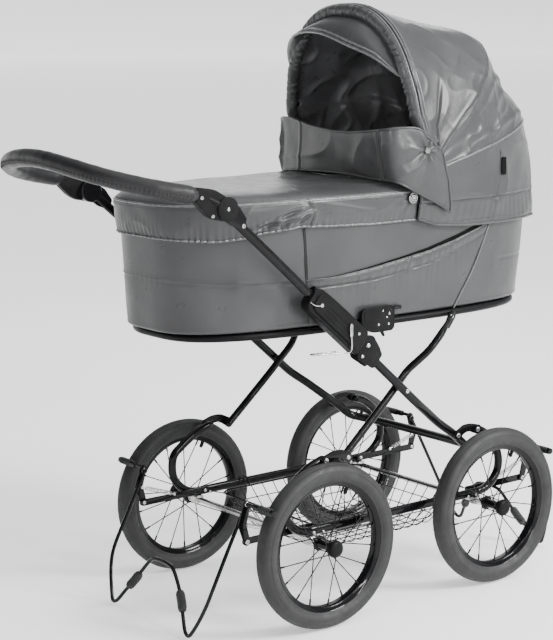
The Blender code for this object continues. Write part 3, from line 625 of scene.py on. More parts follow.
# ================================================================ brakes
for end, sign in ENDS:
    loop_rows = [
        (0.3930, 0.2680, 0.1862), (0.4350, 0.1900, 0.1862), (0.4780, 0.1080, 0.1862),
        (0.4900, 0.0740, 0.1790), (0.5030, 0.0280, 0.1580), (0.5090, 0.0095, 0.1440),
        (0.5080, 0.0120, 0.1320), (0.4990, 0.0370, 0.1110), (0.4870, 0.0655, 0.0885),
        (0.4790, 0.0960, 0.0640), (0.4750, 0.1170, 0.0440), (0.4740, 0.1240, 0.0300),
    ]
    rows = [(sign * x, -y, z) for x, z, y in loop_rows] + [(sign * x, y, z) for x, z, y in reversed(loop_rows)]
    pts = through(rows, 0.006)
    piece(f"{end}_foot_loop", tube(pts, 0.0041, 14), ENAMEL, f"{end}_brake_loop", [f"{end}_brake_loop"])
    for _, side in SIDES:
        here = Vector((sign * 0.487, side * 0.0885, 0.0655))
        near = [p for p in pts if (p - here).length < 0.0215]
        ln = lengths(near)
        fine = through(near, 0.0009)
        total = lengths(fine)
        radii = []
        for d in total:
            edge = min(d, total[-1] - d)
            rib = 0.0006 * math.cos(2 * math.pi * d / 0.0042)
            radii.append(0.0096 + rib if edge > 0.0025 else 0.0090)
        fit(f"{end}_brake_loop", RUBBER, tube(fine, radii, 16))
        # eyes where the loop hangs on the brake links
        eye = (sign * 0.3930, side * 0.1862, 0.2700)
        fit(f"{end}_brake_loop", ENAMEL, ring_of(eye, 0.0052, 0.0024))
    for where, side in SIDES:
        x0, x1 = sign * 0.219, sign * 0.402
        arm = rounded([(x0, 0.1905), (x1, 0.1905), (x1, 0.2055), (x0, 0.2055)], [0.0062, 0.0072, 0.0072, 0.0062], 6)
        made = many(
            slab(arm, side * 0.1868, side * 0.1902, 0.0007),
            lathe([(0.0052, 0.1898), (0.0052, 0.1990), (0.0003, 0.1990)], sign * 0.2300, 0.1930, side, 18, closed=False),
        )
        piece(f"{end}_{where}_brake_strut", made, ENAMEL, "chassis", [f"{end}_{where}_brake_arm"])
        fit("chassis", ZINC, rivet(sign * 0.2300, 0.1975, -0.1868, -side, 0.0042, 0.0018))
        fit("chassis", ZINC, rivet(sign * 0.394, 0.198, -0.1868, -side, 0.0044, 0.0022))
        outline = []
        for cx, cz, r, a0, a1 in (
            (0.394, 0.198, 0.0085, 170, 370), (0.410, 0.235, 0.0045, -30, 30), (0.3925, 0.2738, 0.0095, 0, 180), (0.398, 0.235, 0.0050, 150, 210),
        ):
            outline += [(sign * (cx + r * math.cos(math.radians(a0 + (a1 - a0) * k / 9))), cz + r * math.sin(math.radians(a0 + (a1 - a0) * k / 9))) for k in range(10)]
        px, pz = sign * 0.3925, 0.2768
        rod = lathe(
            [(0.0003, 0.1925), (0.0042, 0.1925), (0.0042, 0.2185), (0.0058, 0.2188), (0.0068, 0.2198), (0.0070, 0.2230), (0.0070, 0.2820), (0.0064, 0.2842), (0.0040, 0.2850), (0.0003, 0.2850)],
            px, pz, side, 24, closed=False,
        )
        made = many(slab(outline, side * 0.1905, side * 0.1939, 0.0006), rod)
        piece(f"{end}_{where}_brake_bar", made, ENAMEL, f"{end}_brake_links", [f"{end}_{where}_brake_link"])
        ribs = [lathe([(0.0066, y - 0.0010), (0.0078, y - 0.0006), (0.0078, y + 0.0006), (0.0066, y + 0.0010)], px, pz, side, 24) for y in (0.2400, 0.2450, 0.2500, 0.2550, 0.2600, 0.2650, 0.2700, 0.2750)]
        fit(f"{end}_brake_links", RUBBER, *ribs)
        fit(f"{end}_brake_links", ZINC, screw(sign * 0.394, 0.198, 0.1939, side, 0.0050, 0.0026), rivet(px, pz, 0.1939, side, 0.0052, 0.0014))
        fit(f"{end}_brake_links", ZINC, lathe([(0.0003, -0.1800), (0.0022, -0.1800), (0.0022, -0.1910), (0.0003, -0.1910)], sign * 0.402, 0.235, -side, 12, closed=False))
        spring = many(
            coil((sign * 0.4020, side * 0.1812, 0.2350), (sign * 0.3180, side * 0.1812, 0.2058), 0.0040, 0.00075, 17),
            ring_of((sign * 0.4020, side * 0.1812, 0.2350), 0.0026, 0.0008),
            ring_of((sign * 0.3180, side * 0.1812, 0.2058), 0.0026, 0.0008),
        )
        piece(f"{end}_{where}_return_spring", spring, ZINC, "chassis", [f"{end}_{where}_brake_spring"])
        fit("chassis", ZINC, lathe([(0.0003, -0.1795), (0.0020, -0.1795), (0.0020, -0.1870), (0.0003, -0.1870)], sign * 0.318, 0.2045, -side, 12, closed=False))

# ================================================================ wheels
WHEEL_Y = 0.2596
TYRE = []
for k in range(97):
    # a round shoulder between rim and tread, ribbed on its side walls
    a = math.pi * k / 96
    y = -0.0213 * math.cos(a)
    r = 0.1520 + 0.0228 * math.sin(a) ** 0.74
    if abs(y) > 0.0118:
        r = r if r > 0.152 else 0.152
        y += math.copysign(0.00055 * math.cos(2 * math.pi * (r - 0.1520) / 0.0034), y)
    TYRE.append((min(r, 0.1749), y))
for k, y in enumerate((-0.0082, -0.0041, 0.0, 0.0041, 0.0082)):
    TYRE = [(r - 0.0011 * bell(yy - y, 0.0008), yy) for r, yy in TYRE]
TYRE = [(0.1366, -0.0128), (0.1390, -0.0140), (0.1420, -0.0172), (0.1465, -0.0203), (0.1495, -0.0212)] + TYRE + [(0.1495, 0.0212), (0.1465, 0.0203), (0.1420, 0.0172), (0.1390, 0.0140), (0.1366, 0.0128)]

RIM = [
    (0.1272, -0.0086), (0.1290, -0.0104), (0.1345, -0.0116), (0.1372, -0.0134), (0.1388, -0.0132), (0.1385, -0.0118), (0.1366, -0.0100), (0.1330, -0.0070),
    (0.1330, 0.0070), (0.1366, 0.0100), (0.1385, 0.0118), (0.1388, 0.0132), (0.1372, 0.0134), (0.1345, 0.0116), (0.1290, 0.0104), (0.1272, 0.0086),
    (0.1262, 0.0040), (0.1262, -0.0040),
]
SPOKES = 18

for end, sign in ENDS:
    for where, side in SIDES:
        x, z = sign * 0.2394, 0.175
        body = f"{end}_{where}_wheel"
        tyre = lathe([(r, WHEEL_Y + y) for r, y in TYRE], x, z, side, 128)
        piece(f"{end}_{where}_ribbed_tyre", tyre, RUBBER, body, [f"{end}_{where}_tyre"], sharp=60)
        made = Shape().add(lathe([(r, WHEEL_Y + y) for r, y in RIM], x, z, side, 96))
        # hub barrel with two flanges, then spokes from the flanges, crossing in pairs
        barrel = [
            (0.0066, 0.2325), (0.0105, 0.2325), (0.0118, 0.2340), (0.0158, 0.2352), (0.0160, 0.2372), (0.0112, 0.2392), (0.0098, 0.2480), (0.0098, 0.2700),
            (0.0112, 0.2778), (0.0158, 0.2792), (0.0160, 0.2812), (0.0130, 0.2830), (0.0120, 0.2850), (0.0066, 0.2850),
        ]
        made.add(lathe(barrel, x, z, side, 40))
        for k in range(SPOKES):
            face = 1 if k % 2 else -1
            lean = (1 if (k // 2) % 2 else -1) * math.radians(27)
            a = 2 * math.pi * k / SPOKES
            y0 = 0.2362 if face < 0 else 0.2802
            y1 = WHEEL_Y + 0.0022 * face
            p0 = Vector((x + 0.0136 * math.sin(a + lean * 2.2), side * y0, z + 0.0136 * math.cos(a + lean * 2.2)))
            p1 = Vector((x + 0.1275 * math.sin(a), side * y1, z + 0.1275 * math.cos(a)))
            pts = [p0.lerp(p1, t) for t in (0.0, 0.3, 0.6, 0.88, 0.90, 1.0)]
            made.add(tube(pts, [0.00125, 0.00125, 0.00125, 0.00125, 0.0021, 0.0021], 8))
        # the valve stands off the rim
        av = 0.45
        vx, vz = math.sin(av), math.cos(av)
        piece(f"{end}_{where}_spoked_wheel", made, ENAMEL, body, [f"{end}_{where}_wheel"])
        cap = [
            (0.0003, 0.2970), (0.0018, 0.2968), (0.0020, 0.2962), (0.0095, 0.2968), (0.0140, 0.2958), (0.0168, 0.2935), (0.0182, 0.2900),
            (0.0186, 0.2868), (0.0176, 0.2848), (0.0125, 0.2838), (0.0003, 0.2838),
        ]
        fit(body, PLASTIC, lathe(cap, x, z, side, 48, closed=False))
        fit(body, PLASTIC, slab(rounded([(x - 0.0060, z - 0.0011), (x + 0.0060, z - 0.0011), (x + 0.0060, z + 0.0011), (x - 0.0060, z + 0.0011)], 0.0009, 3), side * 0.2955, side * 0.2974, 0.0003))
        fit(body, PLASTIC, revolve([(0.0042, 0.0), (0.0042, 0.010), (0.0036, 0.014), (0.0030, 0.0150), (0.0003, 0.0150)], (x + vx * 0.1275, side * WHEEL_Y, z + vz * 0.1275), (-vx, 0, -vz), 14, closed=False))

# ================================================================ folding frame
for end, (c, j) in (("rear", ((-0.205, 0.342), (-0.146, 0.339))), ("front", ((0.228, 0.342), (0.169, 0.337)))):
    ends = sorted((c, j))
    mid = (ends[0][0] + ends[1][0]) / 2
    base = (ends[0][1] + ends[1][1]) / 2
    outline = arc(ends[1], 0.0112, -95, 62, 12)
    outline += [(mid + 0.016, base + 0.0172), (mid + 0.006, base + 0.0190), (mid - 0.006, base + 0.0190), (mid - 0.016, base + 0.0175)]
    outline += arc(ends[0], 0.0112, 118, 275, 12)
    outline += [(mid - 0.016, base - 0.0040), (mid - 0.005, base + 0.0010), (mid + 0.005, base + 0.0010), (mid + 0.016, base - 0.0040)]
    for where, side in SIDES:
        piece(f"{end}_{where}_arch_link", slab(outline, side * 0.2152, side * 0.2190, 0.0008), ENAMEL, f"{end}_links", [f"{end}_{where}_link"])
        for x, z in ends:
            fit(f"{end}_links", ZINC, rivet(x, z, 0.2190, side, 0.0056, 0.0026, 20))
        fit("chassis", ENAMEL, lathe([(0.0090, 0.2100), (0.0090, 0.2152), (0.0003, 0.2152)], c[0], c[1], side, 20, closed=False))

for where, side in SIDES:
    rows = [
        (-0.1505, 0.3348, 0.2045), (-0.1460, 0.3390, 0.2045), (-0.0280, 0.4420, 0.2035),
        (0.0000, 0.4680, 0.2035), (0.0330, 0.4990, 0.2035), (0.0550, 0.5200, 0.2140),
        (0.0760, 0.5400, 0.2235), (0.1080, 0.5740, 0.2285), (0.1300, 0.6000, 0.2278), (0.1440, 0.6170, 0.2272),
    ]
    pts = through(side_path(side, rows), 0.006)
    radii = []
    for p in pts:
        near = (Vector((p.x, p.z)) - Vector(RING_PIN)).length
        radii.append(lerp(0.0046, 0.0082, smooth((near - 0.006) / 0.045)))
    made = Shape().add(tube(pts, radii, 18))
    # the upper end is pressed flat round the ring's pin
    flat = rounded([(0.1180, 0.5900), (0.1300, 0.5800), (0.1500, 0.6060), (0.1520, 0.6190), (0.1420, 0.6220), (0.1320, 0.6150)], 0.006, 6)
    made.add(slab(flat, side * 0.2248, side * 0.2292, 0.0008))
    piece(f"{where}_scissor_bar", made, ENAMEL, "scissor", [f"{where}_scissor_tube"])
    fit("scissor", ZINC, rivet(0.138, 0.6085, 0.2292, side, 0.0052, 0.0024, 20))
    fit("scissor", PLASTIC, rivet(-0.146, 0.339, 0.2120, side, 0.0080, 0.0024, 20))

top = leg(0.136, 0.0)
half_frame = [
    (top[0], top[1], 0.2225), (*leg(0.060, 0.0), 0.2222), (CROSS[0], CROSS[1], 0.2220), (*leg(-0.055, 0.0), 0.2215),
    (0.0820, 0.4010, 0.2120), (0.1200, 0.3720, 0.2045), (0.1690, 0.3370, 0.2045), (0.2070, 0.3060, 0.2000),
    (0.2290, 0.2980, 0.1850), (0.2420, 0.2950, 0.1550), (0.2500, 0.2930, 0.0900), (0.2540, 0.2920, 0.0300),
]
rows = side_path(-1, half_frame) + side_path(1, list(reversed(half_frame)))
piece("handle_base_frame", tube(through(rows, 0.008), 0.0096, 20), ENAMEL, "handle_frame", ["lower_handle_frame"])
for where, side in SIDES:
    fit("handle_frame", ZINC, rivet(0.009, 0.461, 0.2305, side, 0.0052, 0.0026, 20))
    fit("handle_frame", ENAMEL, lathe([(0.0085, 0.2080), (0.0085, 0.2130), (0.0003, 0.2130)], 0.0, 0.468, side, 20, closed=False))
    fit("handle_frame", ENAMEL, lathe([(0.0085, 0.2100), (0.0085, 0.2150), (0.0003, 0.2150)], 0.169, 0.337, side, 20, closed=False))

    # bracket: two ears with the tube's end between them, webs, and its rivets
    ears = arc((0.112, -0.0130), 0.0075, 180, 270, 4, leg) + arc((0.148, -0.0125), 0.0130, -90, -5, 5, leg)
    ears += arc(FOLD, 0.0205, -28, 92, 9, leg) + [leg(0.130, 0.0285), leg(0.118, 0.0245)] + arc((0.112, 0.0130), 0.0080, 90, 180, 4, leg)
    tab = rounded([leg(0.108, 0.0070), leg(0.0985, 0.0045), leg(0.0975, -0.0040), leg(0.108, -0.0090)], 0.004, 4)
    made = many(
        slab(ears, side * 0.2325, side * 0.2366, 0.0011, 3),
        slab(ears, side * 0.2074, side * 0.2118, 0.0011, 3),
        slab([leg(0.1045, 0.0098), leg(0.1045, 0.0130), leg(0.1330, 0.0130), leg(0.1330, 0.0098)], side * 0.2080, side * 0.2360, 0.0006),
        slab([leg(0.1045, -0.0130), leg(0.1045, -0.0098), leg(0.1330, -0.0098), leg(0.1330, -0.0130)], side * 0.2080, side * 0.2360, 0.0006),
        slab(tab, side * 0.2330, side * 0.2358, 0.0006),
    )
    piece(f"{where}_fold_bracket", made, PLASTIC, "handle_frame", [f"{where}_lock_bracket"])
    raised = rounded([leg(0.1170, -0.0150), leg(0.1480, -0.0205), leg(0.1560, -0.0100), leg(0.1620, 0.0150), leg(0.1500, 0.0270), leg(0.1260, 0.0230), leg(0.1170, 0.0120)], 0.008, 5)
    fit("handle_frame", PLASTIC, slab(raised, side * 0.2360, side * 0.2374, 0.0007))
    fit("handle_frame", CHROME, rivet(*leg(0.1503, 0.0103), 0.2372, side, 0.0052, 0.0028, 20), rivet(*leg(0.1480, -0.0165), 0.2372, side, 0.0040, 0.0022, 18))

    # lock housing on the handle: a deep shell, open at its rear end, on two lips
    px, pz = leg(*FOLD)
    shell = arc((0.1800, -0.0200), 0.0090, 180, 262, 4, leg) + [leg(0.230, -0.0292), leg(0.290, -0.0300)] + arc((0.330, -0.0120), 0.0178, -88, 0, 6, leg)
    shell += arc((0.330, 0.0060), 0.0180, 0, 80, 6, leg) + [leg(0.300, 0.0262), leg(0.250, 0.0282), leg(0.205, 0.0282)] + arc((0.1830, 0.0185), 0.0095, 100, 180, 4, leg)
    inner = arc((0.1880, -0.0130), 0.0080, 180, 262, 4, leg) + [leg(0.230, -0.0215), leg(0.290, -0.0220)] + arc((0.322, -0.0090), 0.0130, -88, 0, 6, leg)
    inner += arc((0.322, 0.0030), 0.0130, 0, 80, 6, leg) + [leg(0.292, 0.0185), leg(0.250, 0.0200), leg(0.210, 0.0200)] + arc((0.1900, 0.0120), 0.0080, 100, 180, 4, leg)
    made = many(
        slab(shell, side * 0.2220, side * 0.2492, 0.0030, 4),
        slab(inner, side * 0.2485, side * 0.2525, 0.0018, 3),
        slab(arc(FOLD, 0.0098, 90, 270, 10, leg) + [leg(0.178, 0.0040), leg(0.178, 0.0220)], side * 0.2202, side * 0.2290, 0.0008),
    )
    # ribs along the outer face
    for n0, n1 in ((-0.0135, -0.0112), (-0.0045, -0.0022), (0.0045, 0.0068)):
        made[0].extend([]); part = slab(rounded([leg(0.218, n0), leg(0.300, n0), leg(0.300, n1), leg(0.218, n1)], 0.001, 3), side * 0.2515, side * 0.2532, 0.0005)
        base = len(made[0])
        made[0].extend(part[0])
        made[1].extend([tuple(i + base for i in q) for q in part[1]])
    piece(f"{where}_lock_shell", made, PLASTIC, "upper_handle", [f"{where}_lock_housing"])
    # an oval collar round the mouth where the handle's tube leaves the shell
    axis = Vector((-0.7466, 0, 0.6652))
    cx, cz = leg(0.3470, -0.001)
    mouth = []
    for k in range(28):
        a = 2 * math.pi * k / 28
        n = 0.0185 * math.cos(a)
        q = leg(0.3455 + 0.0016 * math.cos(a), n)
        mouth.append((q[0], side * (0.2365 + 0.0120 * math.sin(a)), q[1]))
    fit("upper_handle", PLASTIC, tube(mouth, 0.0024, 8, closed=True, up=axis))
    fit("upper_handle", CHROME, screw(*leg(0.3180, -0.0043), 0.2525, side, 0.0040, 0.0018), screw(*leg(0.1992, 0.0082), 0.2525, side, 0.0030, 0.0012))
    wire = [leg(0.3441, -0.0160), leg(0.3330, -0.0150), leg(0.3240, -0.0100), leg(0.3180, -0.0043)]
    fit("upper_handle", CHROME, tube(through([(q[0], side * y, q[1]) for q, y in zip(wire, (0.2500, 0.2540, 0.2548, 0.2540))], 0.003), 0.0010, 7))

    # bail: a flat sprung head, then wire down and back round the shell
    bail = [
        (-0.1660, 0.6050, 0.2556), (-0.1652, 0.5920, 0.2554), (-0.1650, 0.5790, 0.2548), (-0.1690, 0.5710, 0.2535),
        (-0.1860, 0.5710, 0.2490), (-0.2400, 0.5740, 0.2450), (-0.2560, 0.5745, 0.2390), (-0.2540, 0.5740, 0.2300),
        (-0.2350, 0.5725, 0.2270), (-0.1850, 0.5705, 0.2270),
    ]
    head = rounded([(-0.1695, 0.6035), (-0.1625, 0.6035), (-0.1620, 0.6290), (-0.1660, 0.6315), (-0.1700, 0.6290)], 0.0022, 4)
    made = many(tube(through(side_path(side, bail), 0.004), 0.0017, 10), slab(head, side * 0.2538, side * 0.2566, 0.0008))
    piece(f"{where}_wire_bail", made, CHROME, f"{where}_lock_bail", [f"{where}_lock_bail"])
    fit(f"{where}_lock_bail", CHROME, rivet(-0.1665, 0.6262, 0.2566, side, 0.0026, 0.0012, 14))

# ================================================================ upper handle
for where, side in SIDES:
    rows = [(*leg(0.3400, 0.0), 0.2362), (*leg(0.3800, 0.0), 0.2368), (*leg(0.480, 0.0), 0.2385), (*leg(0.580, -0.001), 0.2395), (*leg(0.637, -0.002), 0.2400)]
    pts = through(side_path(side, rows), 0.008)
    made = Shape().add(tube(pts, 0.0088, 20, up=(0, 1, 0), squeeze=(0.86, 1.10)))
    # outer tilt disc, with the side plate that sweeps from it to the rivet
    made.add(lathe([(0.0003, 0.2312), (0.0225, 0.2312), (0.0245, 0.2330), (0.0245, 0.2470), (0.0228, 0.2488), (0.0003, 0.2488)], HUB[0], HUB[1], side, 48, closed=False))
    sweep = arc(HUB, 0.0215, 200, 20, 14)
    sweep = arc((0.6340, 0.0), 0.0215, 60, 300, 16, leg) + [leg(0.6000, -0.0150), leg(0.5830, -0.0090)] + arc((0.5780, 0.0010), 0.0088, 250, 100, 8, leg) + [leg(0.5800, 0.0170), leg(0.6080, 0.0235)]
    made.add(slab(sweep, side * 0.2400, side * 0.2482, 0.0012, 3))
    piece(f"{where}_handle_bar", made, ENAMEL, "upper_handle", [f"{where}_upper_handle_tube"])
    fit("upper_handle", CHROME, screw(*leg(0.5771, 0.0010), 0.2482, side, 0.0044, 0.0022))
    # teeth of the tilt joint, seen between the discs
    teeth = Shape()
    for k in range(28):
        a = 2 * math.pi * k / 28
        p = (HUB[0] + 0.0225 * math.cos(a), side * 0.2490, HUB[1] + 0.0225 * math.sin(a))
        q = (HUB[0] + 0.0150 * math.cos(a), side * 0.2490, HUB[1] + 0.0150 * math.sin(a))
        teeth.add(tube([p, q], 0.0009, 6))
    fit("upper_handle", PLASTIC, (teeth.v, teeth.f))

# ================================================================ push bar
rows = [(HUB[0], -0.2575, HUB[1]), (-0.503, -0.2565, 0.9040), (-0.5290, -0.2520, 0.9170)]
for k in range(1, 40):
    a = -math.pi / 2 + math.pi * k / 40
    c = abs(math.cos(a)) ** (2 / 2.67)
    s = math.copysign(abs(math.sin(a)) ** (2 / 2.67), math.sin(a))
    rows.append((-0.529 + (-0.7456 + 0.529) * c, (0.252 - 0.0205 * c) * s, 0.917 + 0.0504 * c - 0.0305 * c * c + 0.052 * (1 - s * s)))
rows += [(-0.5290, 0.2520, 0.9170), (-0.503, 0.2565, 0.9040), (HUB[0], 0.2575, HUB[1])]
pts = through(rows, 0.004)
ln = lengths(pts)
core, sleeve_pts, sleeve_r = [], [], []
for p, d in zip(pts, ln):
    near = (Vector((p.x, p.z)) - Vector(HUB)).length
    if near > 0.0780:
        sleeve_pts.append(p)
for i, p in enumerate(sleeve_pts):
    near = (Vector((p.x, p.z)) - Vector(HUB)).length
    grow = 0.55 + 0.45 * smooth((near - 0.078) / 0.010)
    crease = 0.00045 * noise.noise(Vector((p.x * 60, p.y * 60, p.z * 60))) + 0.0003 * noise.noise(Vector((p.y * 160, p.z * 140, 3.1)))
    sleeve_r.append(0.0125 + 0.0052 * grow + crease)
sleeve = piece("push_bar_sleeve", tube(sleeve_pts, sleeve_r, 32), SLEEVE, "push_bar", ["push_bar"], sharp=60)
arm_rows = [p for p in pts if (Vector((p.x, p.z)) - Vector(HUB)).length < 0.088]
for where, side in SIDES:
    near = [p for p in arm_rows if p.y * side > 0]
    if side > 0:
        near = list(reversed(near))
    fit("push_bar", PLASTIC, tube(near, 0.0082, 18))
    made = many(
        lathe([(0.0003, 0.2490), (0.0222, 0.2490), (0.0240, 0.2506), (0.0240, 0.2640), (0.0222, 0.2658), (0.0160, 0.2664), (0.0003, 0.2664)], HUB[0], HUB[1], side, 48, closed=False),
        slab(rounded([(-0.4700, 0.9080), (-0.4930, 0.8660), (-0.5230, 0.8800), (-0.5490, 0.9060), (-0.5470, 0.9370), (-0.5050, 0.9300)], [0.012, 0.016, 0.012, 0.008, 0.008, 0.014], 6), side * 0.2440, side * 0.2618, 0.0018, 3),
    )
    fit("push_bar", PLASTIC, made)
    fit("push_bar", CHROME, rivet(HUB[0] - 0.001, HUB[1], 0.2664, side, 0.0038, 0.0016, 22), screw(-0.5373, 0.9160, 0.2618, side, 0.0040, 0.0024), screw(-0.5120, 0.8790, 0.2618, side, 0.0036, 0.0020))
# the sleeve's seam: a folded edge with cross stitches on the outer, lower side
seam, stitches = [], Shape()
for i in range(2, len(sleeve_pts) - 2):
    t = (sleeve_pts[i + 1] - sleeve_pts[i - 1]).normalized()
    inward = (sleeve_pts[i] - Vector((-0.45, 0, 0.86))).normalized()
    inward = Vector((inward.x, inward.y, 0)).normalized() * 0.94 - Vector((0, 0, 0.34))
    inward = (inward - t * inward.dot(t)).normalized()
    seam.append(sleeve_pts[i] + inward * (sleeve_r[i] - 0.0002))
    if i % 2 == 0:
        across = t.cross(inward)
        base = sleeve_pts[i] + inward * sleeve_r[i] * 1.0
        for way in (-1, 1):
            stitches.add(tube([base - across * 0.0056 - inward * 0.0013 - t * 0.0022 * way, base + inward * 0.0009, base + across * 0.0056 - inward * 0.0013 + t * 0.0022 * way], 0.00055, 6))
fit("push_bar", SLEEVE, tube(seam, 0.0013, 8))
fit("push_bar", THREAD_AND_SEAM_SHADE, (stitches.v, stitches.f))

# ================================================================ support ring and adapters
plan = even(egg(-0.480, 0.425, 0.1815, 0.2285, 3.2, 3.4, 240), 200)
piece("cot_ring", tube([(x, y, 0.614) for x, y in plan], 0.0078, 18, closed=True, up=(0, 0, 1)), SATIN, "support_ring", ["carrycot_ring"])
for where, side in SIDES:
    block = rounded(
        [(-0.1080, 0.6200), (-0.0880, 0.5990), (-0.0720, 0.5955), (-0.0240, 0.5955), (-0.0170, 0.6030), (-0.0170, 0.6400), (-0.0240, 0.6500), (-0.1000, 0.6500), (-0.1080, 0.6430)],
        [0.006, 0.006, 0.003, 0.006, 0.004, 0.004, 0.006, 0.005, 0.005], 5,
    )
    rim = rounded([(-0.1010, 0.6210), (-0.0850, 0.6050), (-0.0700, 0.6010), (-0.0300, 0.6010), (-0.0240, 0.6070), (-0.0240, 0.6380), (-0.0300, 0.6440), (-0.0960, 0.6440), (-0.1010, 0.6390)], 0.005, 4)
    hook = rounded([(-0.0600, 0.6010), (-0.0500, 0.6010), (-0.0440, 0.5880), (-0.0450, 0.5845), (-0.0490, 0.5850)], 0.002, 3)
    made = many(
        slab(block, side * 0.2140, side * 0.2196, 0.0012, 3),
        slab(rim, side * 0.2188, side * 0.2203, 0.0006, 2),
        slab(hook, side * 0.2160, side * 0.2190, 0.0006),
        slab(rounded([(-0.0900, 0.6060), (-0.0300, 0.6060), (-0.0300, 0.6200), (-0.0900, 0.6200)], 0.004), side * 0.2050, side * 0.2150, 0.0008),
    )
    piece(f"{where}_adapter_block", made, PLASTIC, "support_ring", [f"{where}_adapter"])
    fit("support_ring", CHROME, *[rivet(x, z, 0.2202, side, r, 0.0010, 14) for x, z, r in ((-0.0504, 0.6400, 0.0024), (-0.0324, 0.6326, 0.0030), (-0.0394, 0.6257, 0.0022), (-0.0621, 0.6120, 0.0030), (-0.0344, 0.6111, 0.0030))])
    fit("support_ring", PLASTIC, slab(rounded([(-0.0388, 0.6350), (-0.0366, 0.6350), (-0.0366, 0.6470), (-0.0388, 0.6470)], 0.001, 3), side * 0.2200, side * 0.2211, 0.0003))
    lever = rounded([(-0.0184, 0.6436), (-0.0184, 0.6422), (-0.0140, 0.6392), (-0.0030, 0.6402), (0.0012, 0.6430), (-0.0030, 0.6462), (-0.0140, 0.6470)], 0.0015, 4)
    knob = lathe([(0.0003, 0.2146), (0.0036, 0.2148), (0.0046, 0.2156), (0.0046, 0.2184), (0.0036, 0.2192), (0.0003, 0.2194)], -0.0012, 0.6431, side, 20, closed=False)
    piece(f"{where}_release_lever", many(slab(lever, side * 0.2150, side * 0.2190, 0.0007), knob), PLASTIC, f"{where}_adapter_lever", [f"{where}_adapter_lever"])

# ================================================================ soft goods
def unit(a):
    return a / np.maximum(1e-12, np.linalg.norm(a, axis=-1, keepdims=True))


def grid_normals(P, wrap=False, outward=None):
    if wrap:
        dv = np.roll(P, -1, axis=1) - np.roll(P, 1, axis=1)
    else:
        dv = np.gradient(P, axis=1)
    N = unit(np.cross(np.gradient(P, axis=0), dv))
    if outward is not None:
        away = P - np.array(outward)
        if (N * away).sum() < 0:
            N = -N
    return N


def wave(P, scale, seed=0.0, stretch=(1, 1, 1)):
    """Smooth noise over a grid of points, from -1 to 1."""
    k = np.array(stretch, float) * scale
    out = np.empty(P.shape[:2])
    for i in range(P.shape[0]):
        for j in range(P.shape[1]):
            q = P[i, j] * k
            out[i, j] = noise.noise(Vector((q[0] + seed, q[1] - seed * 0.7, q[2] + seed * 0.3)))
    return out


def crease(P, scale, seed=0.0, stretch=(1, 1, 1), sharp=2.5):
    """Thin ridges where smooth noise crosses zero, from 0 to 1."""
    return (1 - np.minimum(1, np.abs(wave(P, scale, seed, stretch)) * 2.2)) ** sharp


def sheet_solid(P, thick, wrap=False, outward=None, meet=False):
    """A closed sheet: a grid of points, and the same grid a thickness further in.

    With meet, both halves of the last row lie on each other and become one line.
    """
    m, n = P.shape[:2]
    N = grid_normals(P, wrap, outward)
    Q = P - N * thick
    if meet:
        Q[-1] = P[-1] - np.array((0.0, 0.0, thick))
    v = [tuple(p) for p in P.reshape(-1, 3)] + [tuple(p) for p in Q.reshape(-1, 3)]
    base = m * n
    f = []
    cols = n if wrap else n - 1
    for i in range(m - 1):
        for j in range(cols):
            a, b, c, d = i * n + j, i * n + (j + 1) % n, (i + 1) * n + (j + 1) % n, (i + 1) * n + j
            f.append((a, b, c, d))
            f.append((base + a, base + d, base + c, base + b))
    for j in range(cols):
        a, b = j, (j + 1) % n
        f.append((a, base + a, base + b, b))
        c, d = (m - 1) * n + j, (m - 1) * n + (j + 1) % n
        if not meet:
            f.append((c, d, base + d, base + c))
    if not wrap:
        for i in range(m - 1):
            a, b = i * n, (i + 1) * n
            f.append((a, b, base + b, base + a))
            c, d = i * n + n - 1, (i + 1) * n + n - 1
            f.append((c, base + c, base + d, d))
    return v, f


def resample(points, count):
    pts = np.array([tuple(p) for p in points], float)
    d = np.concatenate([[0], np.cumsum(np.linalg.norm(np.diff(pts, axis=0), axis=1))])
    s = np.linspace(0, d[-1], count)
    return np.stack([np.interp(s, d, pts[:, k]) for k in range(3)], axis=1)


def stitches_along(path, outs, gap=0.0036, size=0.0023, r=0.00038, lift=0.0002):
    """Short threads lying along a path on a surface."""
    s = Shape()
    pts = [Vector(p) for p in path]
    ln = lengths(pts)
    d, j = gap * 0.5, 0
    while d + size < ln[-1]:
        ends = []
        for e in (d, d + size * 0.5, d + size):
            while ln[j + 1] < e:
                j += 1
            t = (e - ln[j]) / max(1e-9, ln[j + 1] - ln[j])
            ends.append(pts[j].lerp(pts[j + 1], t) + Vector(outs[j]) * lift)
            if e != d + size * 0.5:
                ends[-1] -= Vector(outs[j]) * (lift + 0.0002)
        s.add(tube(ends, r, 5, caps="flat"))
        j = max(0, j - 1)
        d += gap
    return s.v, s.f


# ---------------------------------------------------------------- carrycot
TUB = ((-0.499, 0.441, 0.188, 0.225), (-0.511, 0.467, 0.202, 0.237))


def tub_at(z, grow=0.0):
    t = (z - 0.6235) / (0.868 - 0.6235)
    v = [lerp(a, b, t) for a, b in zip(*TUB)]
    return (v[0] - grow, v[1] + grow, v[2] + grow, v[3] + grow)


def plan_point(v, a):
    rear_x, front_x, rear_half, front_half = v
    middle = (rear_x + front_x) / 2
    c, s = math.cos(a), math.sin(a)
    n = 3.6 if c >= 0 else 3.2
    reach = front_x - middle if c >= 0 else middle - rear_x
    x = middle + reach * math.copysign(abs(c) ** (2 / n), c)
    half = rear_half + (front_half - rear_half) * (x - rear_x) / (front_x - rear_x)
    return x, half * math.copysign(abs(s) ** (2 / n), s)


